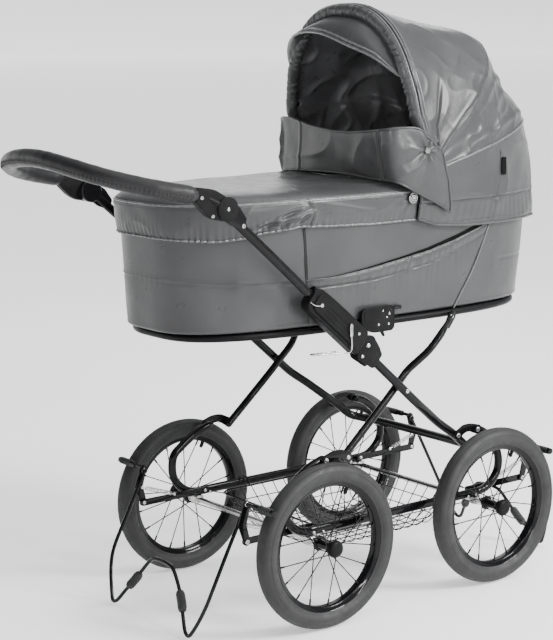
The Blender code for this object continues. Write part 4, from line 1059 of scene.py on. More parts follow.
def tub_half(x, z, grow=0.0):
    rear_x, front_x, rear_half, front_half = tub_at(z, grow)
    middle = (rear_x + front_x) / 2
    n = 3.6 if x >= middle else 3.2
    reach = front_x - middle if x >= middle else middle - rear_x
    u = min(0.9999, abs(x - middle) / reach)
    return (rear_half + (front_half - rear_half) * (x - rear_x) / (front_x - rear_x)) * (1 - u**n) ** (1 / n)


def even_angles(count, z=0.75):
    dense = [2 * math.pi * k / 4000 for k in range(4001)]
    pts = [Vector((*plan_point(tub_at(z), a), 0)) for a in dense]
    ln = lengths(pts)
    out, j = [], 0
    for k in range(count):
        d = ln[-1] * k / count
        while ln[j + 1] < d:
            j += 1
        out.append(dense[j] + (dense[1]) * (d - ln[j]) / max(1e-9, ln[j + 1] - ln[j]))
    return out


ANGLES = even_angles(380)
SEAM_V = [(0.630, -0.2290), (0.6426, -0.2306), (0.6805, -0.2341), (0.712, -0.2373), (0.783, -0.2430), (0.827, -0.2470), (0.870, -0.2520)]
OPENING = [(-0.2376, 0.7205), (-0.165, 0.7220), (-0.0864, 0.7307), (-0.0052, 0.7428), (0.0783, 0.7560), (0.1534, 0.7730), (0.2201, 0.7920), (0.262, 0.8060)]
BAND = [(-0.2321, 0.7018), (-0.1489, 0.7045), (-0.0691, 0.7075), (0.007, 0.7177), (0.0851, 0.7302), (0.1666, 0.7536), (0.2338, 0.7767), (0.2600, 0.7860)]
CURVE = [(0.6232, 0.1570), (0.6484, 0.1735), (0.6719, 0.1900), (0.7005, 0.2090), (0.7472, 0.2335), (0.7906, 0.2535), (0.8200, 0.2655)]

levels = [(0.6236, -0.012), (0.6236, -0.006), (0.6246, -0.0016), (0.6275, 0.0006), (0.6310, 0.0006)]
levels += [(lerp(0.6345, 0.8665, k / 62), 0.0) for k in range(63)] + [(0.8680, -0.0014), (0.8682, -0.0040)]
P = np.array([[(*plan_point(tub_at(z, g), a), z) for a in ANGLES] for z, g in levels])
N = grid_normals(P, True, (0, 0, 0.75))
X, Y, Z = P[..., 0], P[..., 1], P[..., 2]
seam_z = 0.718 + 0.013 * np.clip((-X - 0.36) / 0.15, 0, 1)
foot = 1 / (1 + np.exp((X + 0.243) / 0.0012))
d = 0.0011 * wave(P, 8, 1.0) + 0.0008 * wave(P, 22, 4.0, (1, 1, 0.4)) + 0.0011 * crease(P, 9, 7.0, (1, 1, 0.5)) * np.clip((0.80 - Z) / 0.1, 0, 1)
d -= 0.0020 * foot * np.exp(-(((Z - seam_z) / 0.0016) ** 2))
d += 0.0011 * foot * np.exp(-(((Z - seam_z - 0.0048) / 0.0030) ** 2))
seam_x = np.interp(Z, [p[0] for p in SEAM_V], [p[1] for p in SEAM_V])
d -= 0.0020 * np.exp(-(((X - seam_x) / 0.0018) ** 2)) * (Z > 0.640)
# small puckers that the seam pulls in the leatherette
d += 0.0006 * foot * np.exp(-(((Z - seam_z) / 0.012) ** 2)) * np.sin(2 * math.pi * (Y * 60 + X * 38) + 3 * wave(P, 6, 2.0))
head = 1 / (1 + np.exp(-(X - 0.30) / 0.0012))
d -= 0.0016 * head * np.exp(-(((Z - 0.716) / 0.0015) ** 2))
d[:3] *= 0.2
P = P + N * d[..., None]
cover = piece("carrycot_cover", sheet_solid(P, 0.0030, True, (0, 0, 0.75)), HIDE, "carrycot", ["carrycot_tub"], sharp=0)

# the board that the cover is stretched on: floor, wall and rim
board_levels = [(0.6262, -0.150), (0.6262, -0.060), (0.6262, -0.0120), (0.6290, -0.0060), (0.6350, -0.0042)]
board_levels += [(lerp(0.64, 0.862, k / 10), -0.0042) for k in range(11)] + [(0.8650, -0.0056), (0.8650, -0.0082), (0.862, -0.0096)]
board_levels += [(lerp(0.855, 0.640, k / 10), -0.0096) for k in range(11)] + [(0.6360, -0.013), (0.6345, -0.020), (0.6345, -0.060), (0.6345, -0.150)]
coarse = even_angles(140)
v, f = [], []
for z, g in board_levels:
    v += [(*plan_point(tub_at(z, g), a), z) for a in coarse]
m, n = len(board_levels), len(coarse)
for i in range(m - 1):
    for j in range(n):
        f.append((i * n + j, i * n + (j + 1) % n, (i + 1) * n + (j + 1) % n, (i + 1) * n + j))
f.append(tuple(reversed(range(n))))
f.append(tuple(range((m - 1) * n, m * n)))
piece("carrycot_board", (v, f), LINING, "carrycot", sharp=0)

# a rib below the board, which sits inside the support ring
rib = even(egg(-0.4695, 0.4145, 0.1710, 0.2180, 3.2, 3.4, 240), 200)
P = np.array([[(x, y, z) for x, y in rib] for z in (0.6150, 0.6190, 0.6230, 0.6268)])
piece("carrycot_rib", sheet_solid(P, 0.0016, True, (0, 0, 0.62)), PLASTIC, "carrycot")

seam_path, seam_out = [], []
for a in ANGLES:
    x, y = plan_point(tub_at(0.722), a)
    if x < -0.243:
        zz = 0.718 + 0.013 * min(1, max(0, (-x - 0.36) / 0.15)) + 0.0042
        x, y = plan_point(tub_at(zz, 0.0010), a)
        seam_path.append((x, y, zz))
        q = Vector(plan_point(tub_at(zz, 0.02), a)) - Vector((x, y))
        seam_out.append((q.x * 50, q.y * 50, 0))
fit("carrycot", THREAD_AND_SEAM_SHADE, stitches_along(seam_path, seam_out, lift=0.0006))

CARRY = [(-0.2325, 0.0), (0.0, 0.0)]
for where, side in SIDES:
    # pocket: its own panel, gathered under the band along its opening
    rows_n, cols_n = 44, 170
    P = np.zeros((rows_n, cols_n, 3))
    T = np.zeros((rows_n, cols_n))
    for i in range(rows_n):
        t = (i / (rows_n - 1)) ** 1.15
        for j in range(cols_n):
            s = j / (cols_n - 1)
            xt = lerp(-0.2385, 0.2585, s)
            zt = table(OPENING, xt)
            z = lerp(zt, 0.6262, t)
            right_x = table(CURVE, z)
            left_x = table(SEAM_V, z) - 0.001
            down = min(1.0, t * 3)
            x = lerp(xt, lerp(left_x, right_x, s), down)
            below = (table(BAND, x) - z) / 0.006  # past the band's lower edge
            mid = math.sin(math.pi * s) ** 0.6
            off = 0.0020 + 0.0034 * mid * math.sin(math.pi * min(1.0, t * 1.15)) ** 0.8 * (1 - 0.5 * t)
            inside = 1 - smooth(below * 0.5 + 0.5)
            pleat = noise.noise(Vector((x * 95, 3.0, z * 6))) + 0.6 * noise.noise(Vector((x * 210, 9.0, z * 12)))
            across_band = min(1.0, max(0.0, (zt - z) / max(0.004, zt - table(BAND, x))))
            off += inside * (0.0058 * mid * math.sin(math.pi * min(1.0, across_band * 0.8 + 0.2)) ** 0.7 + 0.0019 * pleat * mid)
            off -= 0.0022 * bell(z - table(BAND, x), 0.0018)
            off += (1 - inside) * 0.0011 * pleat * math.exp(-max(0.0, below) / 6)
            off += 0.0016 * noise.noise(Vector((x * 12, 1.7 * side, z * 16))) * (1 - 0.6 * t)
            off *= 0.35 + 0.65 * smooth(min(s, 1 - s) / 0.03)
            off = max(off, 0.0009)
            P[i, j] = (x, side * (tub_half(x, z) + off), z)
            T[i, j] = off
    pocket = piece(f"{where}_side_pocket", sheet_solid(P, 0.0012, False, (0, 0, 0.70)), HIDE, "carrycot", sharp=0)
    # painted shade: a black strip in the pocket's mouth, standing in for the shadow inside the pocket above its slack
    # opening
    mouth = np.zeros((6, 150, 3))
    for i in range(6):
        for j in range(150):
            s = j / 149
            x = lerp(-0.2360, 0.2570, s)
            gap = table([(-0.2376, 0.0014), (-0.10, 0.0030), (0.02, 0.0048), (0.14, 0.0084), (0.21, 0.0092), (0.257, 0.0036)], x)
            z = table(OPENING, x) + gap * (1 - i / 5) - 0.003 * (i / 5)
            mouth[i, j] = (x, side * (tub_half(x, z) + 0.0010 + 0.0008 * math.sin(math.pi * i / 5)), z)
    pocket_shade_strip = piece(f"{where}_pocket_facing", sheet_solid(mouth, 0.0009, False, (0, 0, 0.70)), TAG_AND_POCKET_SHADE, "carrycot", sharp=0)
    # piping down the pocket's front edge, and a rolled edge along the opening
    pts = through([(x, side * (tub_half(x, z) + 0.0022), z) for z, x in CURVE], 0.006)
    fit("carrycot", PIPING, tube(pts, 0.0021, 10))
    # a dark line in the upright seam's groove: partly thread, partly painted shadow of the groove
    pts = [(x, side * (tub_half(x, z) + 0.0010), z) for z, x in SEAM_V[:6]]
    fit("carrycot", THREAD_AND_SEAM_SHADE, tube(through(pts, 0.006), 0.0011, 8))
    pts = [(x + 0.0042, side * (tub_half(x + 0.0042, z) + 0.0004), z) for z, x in SEAM_V[:6]]
    fit("carrycot", HIDE, tube(through(pts, 0.006), 0.0019, 8))
    edge = [tuple(P[0, j] + np.array((0, -side * 0.0002, 0.0004))) for j in range(0, cols_n, 2)]
    fit("carrycot", HIDE, tube(edge, 0.0017, 10))
    outs = [(0, side, 0)] * cols_n
    fit("carrycot", THREAD_AND_SEAM_SHADE, stitches_along([tuple(P[2, j]) for j in range(cols_n)], outs, lift=0.0004))

# mattress, swollen by a short simulation
def closed_levels(levels, count):
    v, f = [], []
    for z, g in levels:
        v += [(*plan_point(tub_at(z, g), a), z) for a in even_angles(count)]
    m = len(levels)
    for i in range(m - 1):
        for j in range(count):
            f.append((i * count + j, i * count + (j + 1) % count, (i + 1) * count + (j + 1) % count, (i + 1) * count + j))
    f.append(tuple(reversed(range(count))))
    f.append(tuple(range((m - 1) * count, m * count)))
    return v, f


def swell(obj, voxel, cap, pressure=4.0, frames=20):
    """Remeshes a closed pad, blows it up by cloth pressure and keeps each point within cap of its start."""
    bpy.context.view_layer.objects.active = obj
    remesh = obj.modifiers.new("voxels", "REMESH")
    remesh.mode = "VOXEL"
    remesh.voxel_size = voxel
    remesh.use_smooth_shade = True
    depsgraph = bpy.context.evaluated_depsgraph_get()
    mesh = bpy.data.meshes.new_from_object(obj.evaluated_get(depsgraph))
    obj.modifiers.clear()
    obj.data = mesh
    start = np.empty(len(mesh.vertices) * 3)
    mesh.vertices.foreach_get("co", start)
    start = start.reshape(-1, 3)
    end = start
    cloth = obj.modifiers.new("cloth", "CLOTH")
    cloth.settings.use_pressure = True
    cloth.settings.uniform_pressure_force = pressure
    cloth.settings.effector_weights.gravity = 0.0
    cloth.point_cache.frame_start = 1
    cloth.point_cache.frame_end = frames
    scene = bpy.context.scene
    for k in range(1, frames + 1):
        scene.frame_set(k)
    depsgraph = bpy.context.evaluated_depsgraph_get()
    swollen = bpy.data.meshes.new_from_object(obj.evaluated_get(depsgraph))
    end = np.empty(len(swollen.vertices) * 3)
    swollen.vertices.foreach_get("co", end)
    end = end.reshape(-1, 3)
    bpy.data.meshes.remove(swollen)
    obj.modifiers.clear()
    scene.frame_set(1)
    move = end - start
    size = np.linalg.norm(move, axis=1, keepdims=True)
    end = start + move * np.minimum(1.0, cap / np.maximum(size, 1e-9))
    mesh.vertices.foreach_set("co", np.ascontiguousarray(end, float).reshape(-1))
    mesh.update()
    mesh.shade_smooth()
    return obj


pad = bpy.data.objects.new("mattress_pad", mesh_of("mattress_pad", closed_levels([(0.6385, -0.034), (0.6400, -0.026), (0.6450, -0.023), (0.6540, -0.023), (0.6590, -0.026), (0.6605, -0.034)], 120), sharp=0))
bpy.context.scene.collection.objects.link(pad)
swell(pad, 0.006, 0.006)
pad.data.materials.clear()
pad.data.materials.append(COTTON)
for vert in pad.data.vertices:
    p = vert.co
    if p.z > 0.652:
        tuft = min((Vector((p.x, p.y)) - Vector((tx + OX, ty))).length for tx in (-0.36, -0.18, 0.0, 0.18, 0.36) for ty in (-0.075, 0.075))
        p.z += 0.0012 * noise.noise(Vector((p.x * 14, p.y * 14, 2.0))) - 0.0040 * math.exp(-((tuft / 0.016) ** 2))
    p.z = max(p.z, 0.6350)
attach(pad, "carrycot")
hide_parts("mattress")

# ---------------------------------------------------------------- apron
HEM = [(-0.520, 0.819), (-0.482, 0.816), (-0.436, 0.813), (-0.382, 0.818), (-0.338, 0.828), (-0.256, 0.835), (-0.185, 0.831), (-0.085, 0.826), (0.008, 0.826), (0.05, 0.826)]


def rim_path(count, last_x, z=0.868, grow=0.0075):
    """The apron's edge from the left side round the foot end to the right, with plan angles."""
    dense = [math.pi * 0.02 + (2 * math.pi - math.pi * 0.04) * k / 3000 for k in range(3001)]
    keep = [a for a in dense if plan_point(tub_at(z, grow), a)[0] < last_x]
    pts = [Vector((*plan_point(tub_at(z, grow), a), 0)) for a in keep]
    ln = lengths(pts)
    out, j = [], 0
    for k in range(count):
        d = ln[-1] * k / (count - 1)
        while j < len(ln) - 2 and ln[j + 1] < d:
            j += 1
        out.append(lerp(keep[j], keep[j + 1], (d - ln[j]) / max(1e-9, ln[j + 1] - ln[j])))
    return out


rim = rim_path(420, 0.0400)
TOP_Z = 0.8865
rows_n = 30
P = np.zeros((rows_n + 6, len(rim), 3))
for j, a in enumerate(rim):
    xr, yr = plan_point(tub_at(0.868, 0.0075), a)
    hem_z = table(HEM, xr)
    for i in range(rows_n):
        t = i / (rows_n - 1)
        z = lerp(hem_z, TOP_Z - 0.002, t)
        gather = math.exp(-t / 0.22)
        g = 0.0042 + 0.0034 * t + 0.0036 * math.sin(math.pi * t) ** 0.8
        s = j * 0.0031
        at_foot = 0.45 + 0.55 * smooth((-0.26 - xr) / 0.08)
        g += at_foot * gather * (0.7 + 0.9 * noise.noise(Vector((s * 11, 4.0, 0)))) * (0.0026 * math.sin(2 * math.pi * s / 0.0135 + 3.0 * noise.noise(Vector((s * 30, 0, 0)))) + 0.0012 * noise.noise(Vector((s * 170, 1.0, 0))))
        x, y = plan_point(tub_at(min(z, 0.880), g), a)
        P[i, j] = (x, y, z)
    for i, (dz, g) in enumerate(((0.0006, 0.0070), (0.0018, 0.0050), (0.0021, 0.0010), (0.0020, -0.0030), (0.0019, -0.0070), (0.0018, -0.0110))):
        x, y = plan_point(tub_at(0.880, g), a)
        P[rows_n + i, j] = (x, y, TOP_Z + dz - 0.001)
N = grid_normals(P, False, (0, 0, 0.80))
X, Y, Z = P[..., 0], P[..., 1], P[..., 2]
tt = np.clip((Z - 0.820) / 0.066, 0, 1)
body_of_it = np.sin(np.pi * np.clip(tt, 0.02, 0.98)) ** 0.5
d = 0.0022 * wave(P, 11, 3.0, (1, 1, 0.7)) + 0.0012 * wave(P, 30, 8.0)
# long slanted folds along both sides, as the fabric is drawn back to the wind panel
slant = (X + 0.18) * 9 + (Z - 0.85) * 46
d += 0.0012 * np.exp(-((np.mod(slant, 2.1) - 1.0) / 0.26) ** 2) * np.exp(-(((X + 0.14) / 0.16) ** 2))
d += 0.0020 * crease(P, 10, 5.0, (1, 1, 1.4)) * np.clip((0.02 - X) / 0.1, 0.2, 1)
# leaf-shaped folds beside the upright seam, each with a raised rim round a hollow
for sy in (-1, 1):
    for cx, cz, half_l, half_w, tilt in ((-0.262, 0.8480, 0.030, 0.0075, 0.42), (-0.298, 0.8420, 0.034, 0.0070, 0.36), (-0.338, 0.8400, 0.030, 0.0065, 0.30), (-0.285, 0.8620, 0.030, 0.0055, 0.30)):
        du = (X - cx) * math.cos(tilt) + (Z - cz) * math.sin(tilt)
        dw = -(X - cx) * math.sin(tilt) + (Z - cz) * math.cos(tilt)
        rr = np.sqrt((du / half_l) ** 2 + (dw / half_w) ** 2)
        d += (Y * sy > 0.08) * (0.0046 * np.exp(-(((rr - 1.0) / 0.30) ** 2)) - 0.0030 * np.exp(-((rr / 0.7) ** 2)))
seam = np.interp(Z, [0.8320, 0.8450, 0.8619, 0.8800, 0.8890], [-0.2387, -0.2330, -0.2299, -0.2400, -0.2494])
d = d * body_of_it - 0.0028 * np.exp(-(((X - seam) / 0.0020) ** 2)) + 0.0022 * np.exp(-(((X - seam - 0.0050) / 0.0036) ** 2))
snap = np.sqrt((X - 0.0205) ** 2 + (Z - 0.8735) ** 2)
d += -0.0022 * np.exp(-((snap / 0.011) ** 2)) + 0.0012 * np.exp(-((snap / 0.035) ** 2)) * np.sin(9 * np.arctan2(Z - 0.8735, X - 0.0205))
P = P + N * d[..., None]
# a dark line down each upright seam's groove: partly thread, partly painted shadow of the groove
for lo, hi in ((0, len(rim) // 2), (len(rim) // 2, len(rim))):
    line = []
    for i in range(2, rows_n + 1):
        j = lo + int(np.argmin(np.abs(X[i, lo:hi] - seam[i, lo:hi])))
        line.append(tuple(P[i, j] + N[i, j] * 0.0002))
    fit("carrycot", THREAD_AND_SEAM_SHADE, tube(through(line, 0.004), 0.0010, 8))
skirt = piece("apron_skirt", sheet_solid(P, 0.0016, False, (0, 0, 0.80)), HIDE, "carrycot", ["apron"], sharp=0)
hem = [tuple(p) for p in P[0]]
ln = lengths(hem)
radii = [0.0028 * (1 + 0.13 * math.sin(2 * math.pi * s / 0.0074 + 2 * noise.noise(Vector((s * 40, 5, 0))))) for s in ln]
fit("carrycot", PIPING, tube(hem, radii, 10))
edge = [plan_point(tub_at(0.880, 0.0068), a) for a in rim]
piping_path = [(x, y, TOP_Z - 0.0012 + 0.0006 * noise.noise(Vector((x * 30, y * 30, 1)))) for x, y in edge]
fit("carrycot", PIPING, tube(piping_path, 0.0026, 10))
outs = [Vector((x, y, 0)).normalized() for x, y in edge]
outs = [tuple(o) for o in outs]
low_edge = [tuple(P[rows_n - 4, j]) for j in range(len(rim))]
fit("carrycot", THREAD_AND_SEAM_SHADE, stitches_along(low_edge, outs, lift=0.0004))

# the crowned top, drawn tight at its edge and slack in its middle
rim2 = rim_path(380, 0.0385)
rows_n = 64
P = np.zeros((rows_n, len(rim2), 3))
for j, a in enumerate(rim2):
    x, y = plan_point(tub_at(0.880, 0.0064), a)
    spine = min(max(x, -0.36), -0.018)
    for i in range(rows_n):
        t = 1 - i / (rows_n - 1)
        t = t ** 0.85
        rise = 0.0235 * max(0.0, 1 - t**5) ** 0.62
        P[i, j] = (spine + (x - spine) * t, y * t, TOP_Z - 0.0010 + rise)
P[-1, :, 1] *= 0.0
X, Y, Z = P[..., 0], P[..., 1], P[..., 2]
side_t = np.clip(np.abs(Y) / 0.20, 0, 1)
free = np.clip(1 - np.linspace(1, 0, rows_n)[:, None] ** 6, 0, 1) * np.ones_like(X)
d = 0.0026 * wave(P, 8, 12.0, (1.0, 0.8, 1)) + 0.0010 * wave(P, 21, 15.0)
d += 0.0013 * crease(P, 6.5, 21.0, (0.7, 1.0, 1), 3.2) + 0.0008 * crease(P, 12, 25.0, (1, 0.7, 1), 3.0)
# drawn folds that run in from both corners of the opening
for cy in (-0.19, 0.19):
    ang = np.arctan2(Y - cy, -(X - 0.02))
    dist = np.sqrt((X - 0.02) ** 2 + (Y - cy) ** 2)
    d += 0.0016 * np.sin(ang * 11 + 1.5 * wave(P, 6, 30 + cy)) * np.exp(-dist / 0.16)
d -= 0.0050 * np.exp(-(((X + 0.20) / 0.16) ** 2) - ((Y / 0.10) ** 2))
d -= 0.0016 * np.exp(-(((X + 0.243) / 0.0020) ** 2)) * (np.abs(Y) > 0.150)
P[..., 2] += d * free
last = 0.5 * (P[-1] + P[-1, ::-1])
last[:, 1] = 0.0
for end_x in (-0.36, -0.018):
    same = np.abs(last[:, 0] - end_x) < 1e-5
    if same.any():
        last[same] = (end_x, 0.0, float(last[same, 2].mean()))
P[-1] = last
for i in range(1, 7):  # ease the last rows into the middle line
    t = 0.5 * (1 - i / 7)
    P[-1 - i, :, 2] = P[-1 - i, :, 2] * (1 - t) + P[-1, :, 2] * t
top = piece("apron_top", sheet_solid(P, 0.0016, False, (0, 0, 0.60), True), HIDE, "carrycot", sharp=0)
bm = bmesh.new()
bm.from_mesh(top.data)
bmesh.ops.remove_doubles(bm, verts=bm.verts, dist=0.00002)
bmesh.ops.recalc_face_normals(bm, faces=bm.faces)
bm.to_mesh(top.data)
bm.free()
# folded front edge of the apron, below the wind panel
front = [tuple(p) for p in P[:, 0]] + [tuple(p) for p in P[:-1, -1][::-1]]
fit("carrycot", HIDE, tube(through(front[::3] + [front[-1]], 0.006), 0.0026, 10))

# ---------------------------------------------------------------- studs
def stud(x, y, z, side, size=1.0, lean=0.08):
    prof = [
        (0.0118, -0.0016), (0.0120, 0.0002), (0.0112, 0.0014), (0.0098, 0.0014), (0.0092, 0.0004), (0.0082, 0.0004), (0.0074, 0.0020), (0.0062, 0.0026),
        (0.0052, 0.0018), (0.0046, 0.0006), (0.0036, 0.0006), (0.0030, 0.0022), (0.0018, 0.0030), (0.0003, 0.0032),
    ]
    return revolve([(r * size, h * size) for r, h in prof], (x, y, z), (0, side, lean), 32, closed=False)


for where, side in SIDES:
    yy = side * (tub_half(0.0205, 0.872) + 0.0148)
    ring_at = [(0.0205 + r * math.cos(a), yy + side * 0.0006 - 0.08 * r * math.sin(a) * 0, 0.8735 + r * math.sin(a)) for r in (0.0078,) for a in [2 * math.pi * k / 28 for k in range(28)]]
    fit("carrycot", PLASTIC, tube(ring_at, 0.0010, 6, closed=True, up=(0, 1, 0)))
    ring_at = [(0.0205 + 0.0040 * math.cos(2 * math.pi * k / 20), yy + side * 0.0006, 0.8735 + 0.0040 * math.sin(2 * math.pi * k / 20)) for k in range(20)]
    fit("carrycot", PLASTIC, tube(ring_at, 0.0009, 6, closed=True, up=(0, 1, 0)))
    fit("carrycot", ZINC, stud(0.0205, yy, 0.8735, side, 0.95, 0.0))
    fit("wind_panel", CHROME, stud(0.0490, side * 0.2490, 0.9714, side, 0.52))

# ---------------------------------------------------------------- wind panel
panel_rows = [
    ((0.0930, -0.2435, 0.9680), (0.1180, -0.2450, 0.8370)),
    ((0.0660, -0.2430, 0.9900), (0.0790, -0.2440, 0.8590)),
    ((0.0300, -0.2410, 1.0170), (0.0380, -0.2420, 0.8790)),
    ((-0.0080, -0.2340, 1.0210), (-0.0020, -0.2370, 0.9000)),
    ((-0.0330, -0.2180, 1.0190), (-0.0190, -0.2240, 0.9100)),
    ((-0.0340, -0.1650, 1.0130), (-0.0190, -0.1700, 0.9110)),
    ((-0.0260, -0.0600, 1.0060), (-0.0150, -0.0600, 0.9160)),
    ((-0.0160, 0.0600, 1.0130), (-0.0110, 0.0600, 0.9150)),
    ((-0.0030, 0.1500, 1.0260), (0.0000, 0.1550, 0.9100)),
    ((0.0100, 0.1960, 1.0250), (0.0140, 0.2020, 0.9030)),
    ((0.0340, 0.2280, 1.0150), (0.0420, 0.2320, 0.8850)),
    ((0.0660, 0.2430, 0.9900), (0.0790, 0.2440, 0.8590)),
    ((0.0930, 0.2435, 0.9680), (0.1180, 0.2450, 0.8370)),
]
tops = resample(through([r[0] for r in panel_rows], 0.004), 220)
lows = resample(through([r[1] for r in panel_rows], 0.004), 220)
rows_n = 46
P = np.zeros((rows_n, 220, 3))
for i in range(rows_n):
    t = i / (rows_n - 1)
    P[i] = tops * (1 - t) + lows * t
N = grid_normals(P, False, (0.20, 0, 0.95))
T = np.linspace(0, 1, rows_n)[:, None] * np.ones((1, 220))
S = np.linspace(0, 1, 220)[None, :] * np.ones((rows_n, 1))
X, Y, Z = P[..., 0], P[..., 1], P[..., 2]
free = np.sin(np.pi * np.clip(T, 0.03, 0.97)) ** 0.5
d = 0.0030 * wave(P, 9, 41.0) + 0.0016 * wave(P, 24, 44.0) + 0.0030 * crease(P, 8, 47.0, (1, 0.5, 1.6), 3.0)
d = d * (0.25 + 0.75 * free)
for sy in (-1, 1):
    r2 = np.sqrt((X - 0.051) ** 2 + (Z - 0.972) ** 2)
    near = (Y * sy > 0.20)
    star = np.cos(6 * np.arctan2(Z - 0.972, X - 0.051) + 0.8)
    d += near * (1.0 if sy < 0 else 0.45) * (0.0062 * np.sign(star) * np.abs(star) ** 1.6 * np.exp(-r2 / 0.040) * (1 - np.exp(-((r2 / 0.010) ** 2))) - 0.0050 * np.exp(-((r2 / 0.012) ** 2)))
d += 0.0068 * np.sin(np.pi * T) ** 0.7 * (np.abs(Y) > 0.2)
for s0 in (0.265, 0.685):
    d -= 0.0026 * np.exp(-(((S - s0) / 0.0024) ** 2))
    d += 0.0014 * np.exp(-(((S - s0 - 0.008) / 0.006) ** 2))
d = np.clip(d, -0.0060, 0.0110)
P = P + N * d[..., None]
panel = piece("wind_flap", sheet_solid(P, 0.0040, False, (0.20, 0, 0.95)), HIDE, "wind_panel", ["wind_panel"], sharp=0)
border = [tuple(p) for p in P[0]] + [tuple(p) for p in P[1:, -1]] + [tuple(p) for p in P[-1, ::-1][1:]] + [tuple(p) for p in P[::-1, 0][1:-1]]
fit("wind_panel", HIDE, tube(border, 0.0026, 10, closed=True, up=None))
# a dark line along each seam of the flap: partly thread, partly painted shadow of its groove
for s0 in (0.265, 0.685):
    j = int(round(s0 * 219))
    fit("wind_panel", THREAD_AND_SEAM_SHADE, tube([tuple(P[i, j] + N[i, j] * 0.0001) for i in range(0, rows_n, 2)], 0.0009, 8))

# ---------------------------------------------------------------- hood
C0 = (0.060, 0.925)
RIDGE = [(0.0, 0.4400), (13.8, 0.4193), (20.0, 0.4024), (26.0, 0.3885), (32.0, 0.3835), (38.0, 0.3868), (44.0, 0.3935), (50.0, 0.3858), (56.8, 0.3645), (67.8, 0.3436), (79.8, 0.3390), (94.9, 0.3530), (100.0, 0.3600)]
RIDGE_X = np.array([p[0] for p in RIDGE])
RIDGE_R = np.array([p[1] for p in RIDGE])


def ridge(phi):
    return float(sum(np.interp(phi + k, RIDGE_X, RIDGE_R) * w for k, w in ((-3, 0.2), (-1.5, 0.2), (0, 0.2), (1.5, 0.2), (3, 0.2))))


def hood_row(phi, count, inset=0.0, start=0.024):
    """One arch of the hood at an angle about its hinge, evenly spaced from right to left."""
    t = min(1.0, max(0.0, (phi - 13.8) / (94.9 - 13.8)))
    n = lerp(2.8, 2.46, t**0.75)
    w = table([(13.8, 0.2425), (45.0, 0.2405), (75.0, 0.2360), (94.9, 0.2340)], phi) - inset
    r = ridge(phi) - inset
    c, s = math.cos(math.radians(phi)), math.sin(math.radians(phi))
    a0 = math.asin((start / r) ** (n / 2))
    pts = []
    for k in range(361):
        a = lerp(a0, math.pi - a0, 0.5 - 0.5 * math.cos(math.pi * k / 360))
        q = r * math.sin(a) ** (2 / n)
        pts.append((C0[0] + q * c, -w * math.copysign(abs(math.cos(a)) ** (2 / n), math.cos(a)), C0[1] + q * s))
    return resample(pts, count)


def hood_grid(phis, count, inset=0.0):
    return np.array([hood_row(p, count, inset) for p in phis])


PHIS = [lerp(13.8, 94.0, k / 110) for k in range(111)]
COLS = 240
P = hood_grid(PHIS, COLS)
N = grid_normals(P, False, (0.1, 0, 0.9))
PHI = np.array(PHIS)[:, None] * np.ones((1, COLS))
RHO = np.sqrt((P[..., 0] - C0[0]) ** 2 + (P[..., 2] - C0[1]) ** 2)
seam_a = np.where(RHO > 0.2, 43.8, 43.8 + 4.6 * np.clip((0.2 - RHO) / 0.12, 0, 1))
behind = 1 - 0.55 * np.clip((PHI - 46) / 6, 0, 1)  # the stretched front panel is smoother
d = (0.0040 * wave(P, 7.5, 51.0) + 0.0017 * wave(P, 19, 54.0)) * behind
d += (0.0036 * crease(P, 6.5, 57.0, (1.2, 0.7, 1), 3.0) + 0.0026 * crease(P, 15, 61.0, (1, 0.8, 1), 3.0)) * behind
for k, (mid, height, width) in enumerate(((18.5, 0.0042, 1.3), (23.0, 0.0050, 1.5), (28.5, 0.0044, 1.6), (34.0, 0.0034, 1.5))):
    slack = (PHI - mid - 2.2 * np.sin(P[..., 1] * 17 + 1.7 * k)) / width
    d += height * np.exp(-(slack**2)) * np.clip((RHO - 0.16) / 0.12, 0, 1) * (0.55 + 0.45 * np.sin(P[..., 1] * 23 + 2.1 * k))
panel_a = np.clip((PHI - seam_a) / (94 - 43.8), 0, 1)
panel_b = np.clip((PHI - 13.8) / (43.8 - 13.8), 0, 1)
d -= 0.0055 * np.sin(np.pi * panel_a) * np.clip(RHO / 0.25, 0, 1) ** 2
d -= 0.0030 * np.sin(np.pi * panel_b) * (panel_a <= 0)
# radiating tucks above the hinge
d += 0.0015 * np.exp(-((RHO - 0.07) / 0.07) ** 2) * np.sin(np.radians(PHI) * 15 + 1.6 * wave(P, 9, 63.0))
d -= 0.0046 * np.exp(-(((PHI - 72 + (0.10 - np.clip(RHO, 0, 0.10)) * 260) / 1.5) ** 2)) * np.clip((RHO - 0.04) / 0.03, 0, 1) * np.clip((0.21 - RHO) / 0.05, 0, 1)
d -= 0.0026 * np.exp(-(((PHI - seam_a) * np.radians(1) * np.maximum(RHO, 0.05) / 0.0020) ** 2))
d += 0.0014 * np.exp(-((((PHI - seam_a) * np.radians(1) * RHO - 0.006) / 0.0042) ** 2))
edge_fade = np.clip((PHI - 13.8) / 2.5, 0, 1)
d *= edge_fade
P = P + N * d[..., None]
CANOPY = P


def across(obj):
    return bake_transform(obj)


canopy = piece("hood_canopy", sheet_solid(P, 0.0022, False, (0.1, 0, 0.9)), HIDE, None, ["hood_front_panel", "hood_rear_panel"], sharp=0)
across(canopy)

# seam across the hood, with a line of stitches each side, a dark line in its groove that is partly thread and partly
# painted shadow, and the piping below
def on_canopy(phi_of, count=300, lift=0.0):
    path, outs = [], []
    for j in range(COLS):
        col = np.interp
        phi = phi_of(j)
        k = (phi - 13.8) / (94.0 - 13.8) * 110
        i = int(min(109, max(0, math.floor(k))))
        t = k - i
        p = CANOPY[i, j] * (1 - t) + CANOPY[i + 1, j] * t
        nn = grid_n[i, j]
        path.append(tuple(p + nn * lift))
        outs.append(tuple(nn))
    return path, outs


